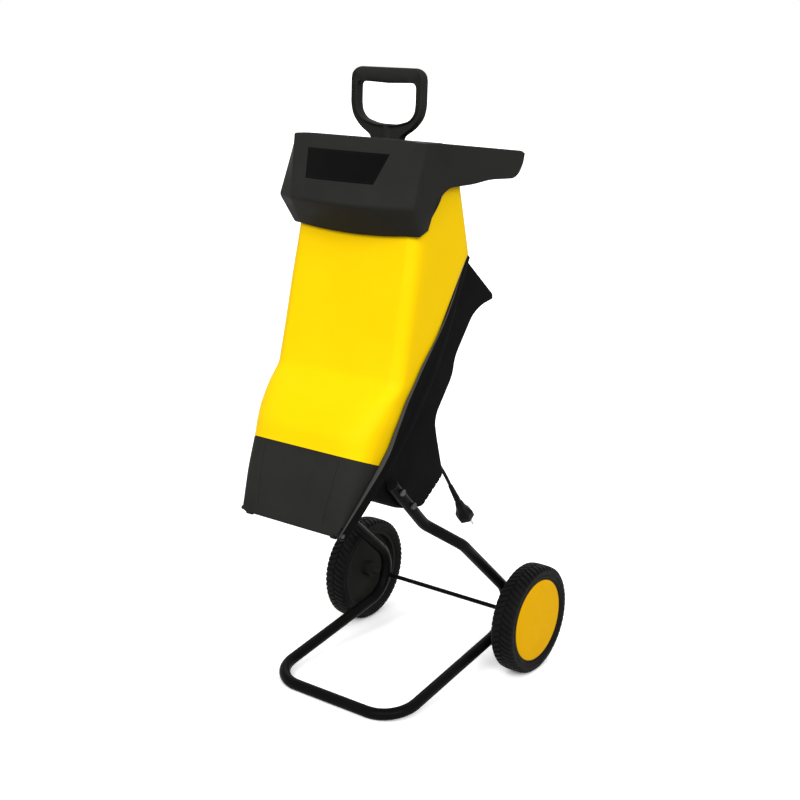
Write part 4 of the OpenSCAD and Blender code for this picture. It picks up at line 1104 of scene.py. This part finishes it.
def clear_half(s, rise):
    """Half the feed housing's width near the seam, with its rounded rear edge."""
    best = 0
    for t in (0, rise):
        z = CUT_Z + s * cos(LEAN) + t * sin(LEAN)
        half, _, _, turn = (line(z) for line in SKIN_LINES)
        short = max(turn - rise, 0)
        best = max(best, half - turn + sqrt(turn * turn - short * short))
    return best


def make_rim_lip():
    """The rim's flange beside the feed housing, its face in a paler black as a painted highlight for the
    light it catches, and the blocks round the hinge pins.
    """
    strip, flange, lugs = Shape(), Shape(), Shape()
    for side in (1, -1):
        faces, walls = [], []
        for k in range(FLANGE_STEPS + 1):
            s = mix(-SEAM_DOWN + 0.4, FLANGE_END, k / FLANGE_STEPS)
            rise = LIP_H + FLANGE_RISE(s)
            inner = clear_half(s, rise) + LIP_GAP * smoothstep(-60, 20, s) + 1
            out = max(RIM_EDGE(s) - 0.3, inner + 2.6)
            face = [
                (inner, 1 - rise), (inner, 0.4 - rise), (inner + 0.5, -rise), (out - 1, -rise),
                (out - 0.2, 0.5 - rise), (out, 1 - rise)]
            wall = [
                (inner + 0.1, RUN_GAP + 0.4), (inner + 0.1, 0.8 - rise), (out - 0.1, 0.8 - rise),
                (out - 0.1, RUN_GAP + 1.6)]
            faces.append([off_seam(side * x, s, t) for x, t in face])
            walls.append([off_seam(side * x, s, t) for x, t in wall])
        strip.tube(faces)
        flange.tube(walls)
        plane_box(lugs, span(side, 93, 100.2), (-SEAM_DOWN, LUG_TOP_S - 0.6), (-5.4, RUN_GAP))
    # The lip's face gets the paler rim colour, a painted highlight; its flange keeps the shell's black
    for name, shape, material in (
            ("rim_lip", strip, RIM_PAINTED_HIGHLIGHT), ("rim_flange", flange, SHELL), ("hinge_lugs", lugs, BLACK)):
        mesh_piece(name, shape, material, "chassis")


make_rear_shell()
make_rim_lip()


# Pusher's handle

DEE_FOOT = 955.4
DEE_TOP = 1072
DEE_MID = 1015
DEE_HALF_T = 9
DEE_OUTER = [
    (0, DEE_FOOT), (28, DEE_FOOT), (30, 963.4), (52, 977.4), (66, 993.4), (71, 1011.4), (71, 1056),
    (67, 1067), (59, DEE_TOP), (0, DEE_TOP)]
DEE_INNER = [
    (0, 982.4), (20, 982.4), (47, 989.4), (57, 1001.4), (59, 1013.4), (59, 1044), (54, 1049), (0, 1047)]
DEE_STEPS = 180
DEE_RIM = 2.4
DEE_HOLLOW = 3.6
DEE_EDGE = 1.2
# The bar by the sine of the angle, and the web's middle rib by degrees from its middle
BAR_FROM = (0.52, 0.70)
RIB_TO = (5, 9)


def ray_length(loop, turn):
    """How far a ray from the loop's middle goes before it meets the loop."""
    way = Vector((cos(turn), sin(turn)))
    best = 0
    for a, b in zip(loop, loop[1:]):
        edge = b - a
        cross = way.x * edge.y - way.y * edge.x
        if abs(cross) > 1e-9:
            far = (a.x * edge.y - a.y * edge.x) / cross
            along = (a.x * way.y - a.y * way.x) / cross
            if far > 0 and -1e-6 <= along <= 1 + 1e-6:
                best = max(best, far)
    return best


def dee_loop(points, turns):
    """A whole outline from the points of its right half."""
    half = rounded([Vector((x, z - DEE_MID)) for x, z in points], turns, 5)
    return half + [Vector((-p.x, p.y)) for p in reversed(half)]


def make_dee():
    """Handle with hollowed arms, a web with two hollows, and a round bar on top."""
    outer = dee_loop(DEE_OUTER, {1: 2, 2: 6, 3: 9, 4: 8, 5: 8, 6: 6, 7: 5, 8: 6})
    inner = dee_loop(DEE_INNER, {1: 10, 2: 8, 3: 6, 4: 6, 5: 4, 6: 4})
    rows = []
    for k in range(DEE_STEPS):
        turn = 2 * pi * k / DEE_STEPS
        a, b = ray_length(inner, turn), ray_length(outer, turn)
        wide = b - a
        bar = smoothstep(*BAR_FROM, sin(turn))
        rib = 1 - smoothstep(*RIB_TO, abs(degrees(turn) - 270))
        rim = min(DEE_RIM, 0.25 * wide)
        deep = mix(DEE_HOLLOW, 0, max(rib, bar))
        marks = [
            (0, 1.6), (0.5, 0.5), (1.2, 0), (rim, 0), (rim + 0.9, deep), (wide / 2, deep),
            (wide - rim - 0.9, deep), (wide - rim, 0), (wide - 1.2, 0), (wide - 0.5, 0.5), (wide, 1.6)]
        front, back = [], []
        for d, sink in marks:
            soft = abs(2 * d / wide - 1)
            thick = mix(DEE_HALF_T - sink, DEE_EDGE + (DEE_HALF_T - DEE_EDGE) * (1 - soft ** 3) ** 0.5, bar)
            x, z = cos(turn) * (a + d), DEE_MID + sin(turn) * (a + d)
            front.append(at(x, PUSHER_Y - thick, z))
            back.append(at(x, PUSHER_Y + thick, z))
        rows.append(front + list(reversed(back)))
    rows.append(rows[0])
    shape = Shape()
    shape.grid(rows, around=True)
    mesh_piece("dee_handle", shape, BLACK, "pusher", ("pusher_handle",), 38)


make_dee()


# Wheels

TYRE_R = 100
WHEEL_X = 190
LUGS = 58
CHEVRON = 0.045


def make_tyre(word, side):
    """Tyre with chevron lugs, a shoulder step and a ringed side wall."""
    # Outward from the wheel's middle, radius, depth of the tread there
    section = [
        (-18, 78, 0), (-20.2, 80, 0), (-21.2, 83, 0), (-20.6, 83.6, 0), (-20.6, 86.4, 0), (-21.6, 87, 0),
        (-22, 92, 0), (-21.8, 93.6, 0.9), (-20.4, 96.4, 2.2), (-17.6, 98.8, 2.6), (-12, 99.8, 2.6),
        (-6, TYRE_R, 2.6), (-1.2, TYRE_R, 2.4), (-0.7, 98.6, 1.2), (0.7, 98.6, 1.2), (1.2, TYRE_R, 2.4)]
    section += [(-x, r, d) for x, r, d in reversed(section[:12])]
    # Share of a lug's pitch, and one where the groove is
    marks = ((0.02, 1), (0.30, 1), (0.36, 0), (0.62, 0), (0.96, 0))
    shape = Shape()
    rows = []
    for x, r, depth in section:
        row = []
        for lug in range(LUGS):
            for mark, cut in marks:
                a = 2 * pi * (lug + mark + CHEVRON * abs(x)) / LUGS
                if x > 0:
                    a += pi / LUGS
                reach = r - depth * cut
                row.append(at(side * (WHEEL_X + x), reach * cos(a), TYRE_R + reach * sin(a)))
        rows.append(row)
    rows.append(rows[0])
    shape.grid(rows, around=True)
    mesh_piece(f"tread_{word}", shape, TYRE, f"wheel_{word}", (f"tyre_{word}",), 30)


make_tyre("right", 1)
make_tyre("left", -1)


# Carried-over solids: softened edges and finishes

def smooth_group():
    """Nodes that shade smooth and keep the sharp edges."""
    tree = bpy.data.node_groups.new("smooth_by_angle", "GeometryNodeTree")
    for way in ("INPUT", "OUTPUT"):
        tree.interface.new_socket("Geometry", in_out=way, socket_type="NodeSocketGeometry")
    add, link = tree.nodes.new, tree.links.new
    start = add("NodeGroupInput")
    end = add("NodeGroupOutput")
    faces = add("GeometryNodeSetShadeSmooth")
    edges = add("GeometryNodeSetShadeSmooth")
    edges.domain = "EDGE"
    edges.inputs["Shade Smooth"].default_value = False
    angle = add("GeometryNodeInputMeshEdgeAngle")
    over = add("FunctionNodeCompare")
    over.operation = "GREATER_THAN"
    over.inputs["B"].default_value = radians(SHARP)
    link(start.outputs[0], faces.inputs["Geometry"])
    link(faces.outputs[0], edges.inputs["Geometry"])
    link(angle.outputs["Unsigned Angle"], over.inputs["A"])
    link(over.outputs[0], edges.inputs["Selection"])
    link(edges.outputs[0], end.inputs[0])
    return tree


SMOOTH = smooth_group()
FLAT = radians(0.6)


def dress(names, material, bevel=0, segments=2):
    """Give CAD nodes a material, and edges rounded by the bevel in millimetres."""
    for name in names.split():
        obj = NODES[name]
        obj.data.materials.clear()
        obj.data.materials.append(material)
        weld = obj.modifiers.new("weld", "WELD")
        weld.merge_threshold = WELD_GAP
        if bevel:
            flat = obj.modifiers.new("flat", "DECIMATE")
            flat.decimate_type = "DISSOLVE"
            flat.angle_limit = FLAT
            edge = obj.modifiers.new("edge", "BEVEL")
            edge.width = bevel * MM
            edge.segments = segments
            edge.limit_method = "ANGLE"
            edge.angle_limit = radians(SHARP)
        smooth = obj.modifiers.new("smooth", "NODES")
        smooth.node_group = SMOOTH
        if bevel:
            obj.modifiers.new("even", "WEIGHTED_NORMAL").keep_sharp = True


dress("frame_tube", TUBE)
dress("tube_caps", DARK, 1)
dress("leg_bolts", OXIDE, 0.6)
dress("axle_nuts plate_screws blade_screws counter_screws hood_screws", STEEL, 0.6)
dress("axle_rod", TUBE, 0.6)
dress("axle_spacers", BLACK, 0.6)
dress("hub_right hub_left", BLACK, 0.8)
dress("cap_right cap_left", CAP_YELLOW, 0.5)
dress("hinge_pins", OXIDE, 0.5)
dress("lock_washer lock_screw disc_clamp disc_bolt", STEEL, 0.5)
dress("chamber_plate", ALLOY, 0.8)
dress("front_bearing rear_bearing motor_shaft feed_deflector", STEEL, 0.4)
dress("motor_can motor_bracket", CAN, 0.5)
dress("stator_core armature", STACK, 0.3)
dress("field_coils armature_windings", COPPER, 1.2)
dress("commutator lock_insert", BRASS, 0.3)
dress("brush_holders suppressor cooling_fan", DARK, 0.5)
dress("carbon_brushes", CARBON, 0.3)
dress("cutter_disc", ALLOY, 0.6)
dress("cutter_blades counter_blade", BLADE, 0.2)
dress("handle_grip", GRIP, 1.5)
dress("feed_throat pusher_body switch_bezel switch_case", DARK, 0.8)
dress("lock_knob", BLACK, 1.6, 3)
dress("start_button", GREEN, 1, 3)
dress("stop_button", RED, 1.2, 3)
dress("reset_button", DARK, 0.8, 3)
dress("cable_gland", CORD_SKIN, 0.5)
dress("plug_pins", STEEL, 0.8, 3)


# Floor and light, the floor's reach in metres

FLOOR_REACH = 30
FLOOR_GREY = 0.36
FLOOR_SEEN = 1.45
WORLD_LIGHT = 0.60
WORLD_SEEN = 1
WHITE = (1, 1, 1, 1)
# Name, way toward the lamp, strength, width in degrees
LAMPS = (
    ("key", (0.14, -0.77, 0.62), 1.40, 38), ("fill", (0.72, -0.47, 0.51), 1.30, 30),
    ("back", (-0.3, 0.8, 0.6), 0.5, 60))


def make_stage():
    mesh = bpy.data.meshes.new("floor")
    ring = [(x * FLOOR_REACH, y * FLOOR_REACH, 0) for x, y in ((-1, -1), (1, -1), (1, 1), (-1, 1))]
    mesh.from_pydata(ring, [], [(0, 1, 2, 3)])
    floor = new_object("floor", mesh)
    mat = bpy.data.materials.new("floor")
    mat.use_nodes = True
    tree = mat.node_tree
    tree.nodes.remove(tree.nodes["Principled BSDF"])
    diffuse = tree.nodes.new("ShaderNodeBsdfDiffuse")
    seen = seen_ray(tree)
    colour = tree.nodes.new("ShaderNodeMix")
    colour.data_type = "RGBA"
    for key, value in (("A", FLOOR_GREY), ("B", FLOOR_SEEN)):
        colour.inputs[key].default_value = (*grey(value), 1)
    tree.links.new(seen, colour.inputs["Factor"])
    tree.links.new(colour.outputs["Result"], diffuse.inputs["Color"])
    tree.links.new(diffuse.outputs["BSDF"], tree.nodes["Material Output"].inputs["Surface"])
    mesh.materials.append(mat)


def seen_ray(tree):
    """One for rays from the camera, from gloss and through glass."""
    path = tree.nodes.new("ShaderNodeLightPath")
    last = path.outputs["Is Camera Ray"]
    for key in ("Is Glossy Ray", "Is Transmission Ray"):
        top = tree.nodes.new("ShaderNodeMath")
        top.operation = "MAXIMUM"
        tree.links.new(last, top.inputs[0])
        tree.links.new(path.outputs[key], top.inputs[1])
        last = top.outputs[0]
    return last


def make_light():
    world = bpy.data.worlds.new("studio")
    bpy.context.scene.world = world
    world.use_nodes = True
    tree = world.node_tree
    lit = tree.nodes["Background"]
    white = tree.nodes.new("ShaderNodeBackground")
    for node, strength in ((lit, WORLD_LIGHT), (white, WORLD_SEEN)):
        node.inputs["Color"].default_value = WHITE
        node.inputs["Strength"].default_value = strength
    pick = tree.nodes.new("ShaderNodeMixShader")
    tree.links.new(seen_ray(tree), pick.inputs[0])
    tree.links.new(lit.outputs[0], pick.inputs[1])
    tree.links.new(white.outputs[0], pick.inputs[2])
    tree.links.new(pick.outputs[0], tree.nodes["World Output"].inputs["Surface"])
    for name, toward, strength, angle in LAMPS:
        lamp = bpy.data.lights.new(name, "SUN")
        lamp.energy = strength
        lamp.angle = radians(angle)
        obj = new_object(name, lamp)
        obj.rotation_mode = "QUATERNION"
        obj.rotation_quaternion = Vector(toward).to_track_quat("Z", "Y")


make_stage()
make_light()
bpy.context.scene.view_settings.view_transform = "Standard"
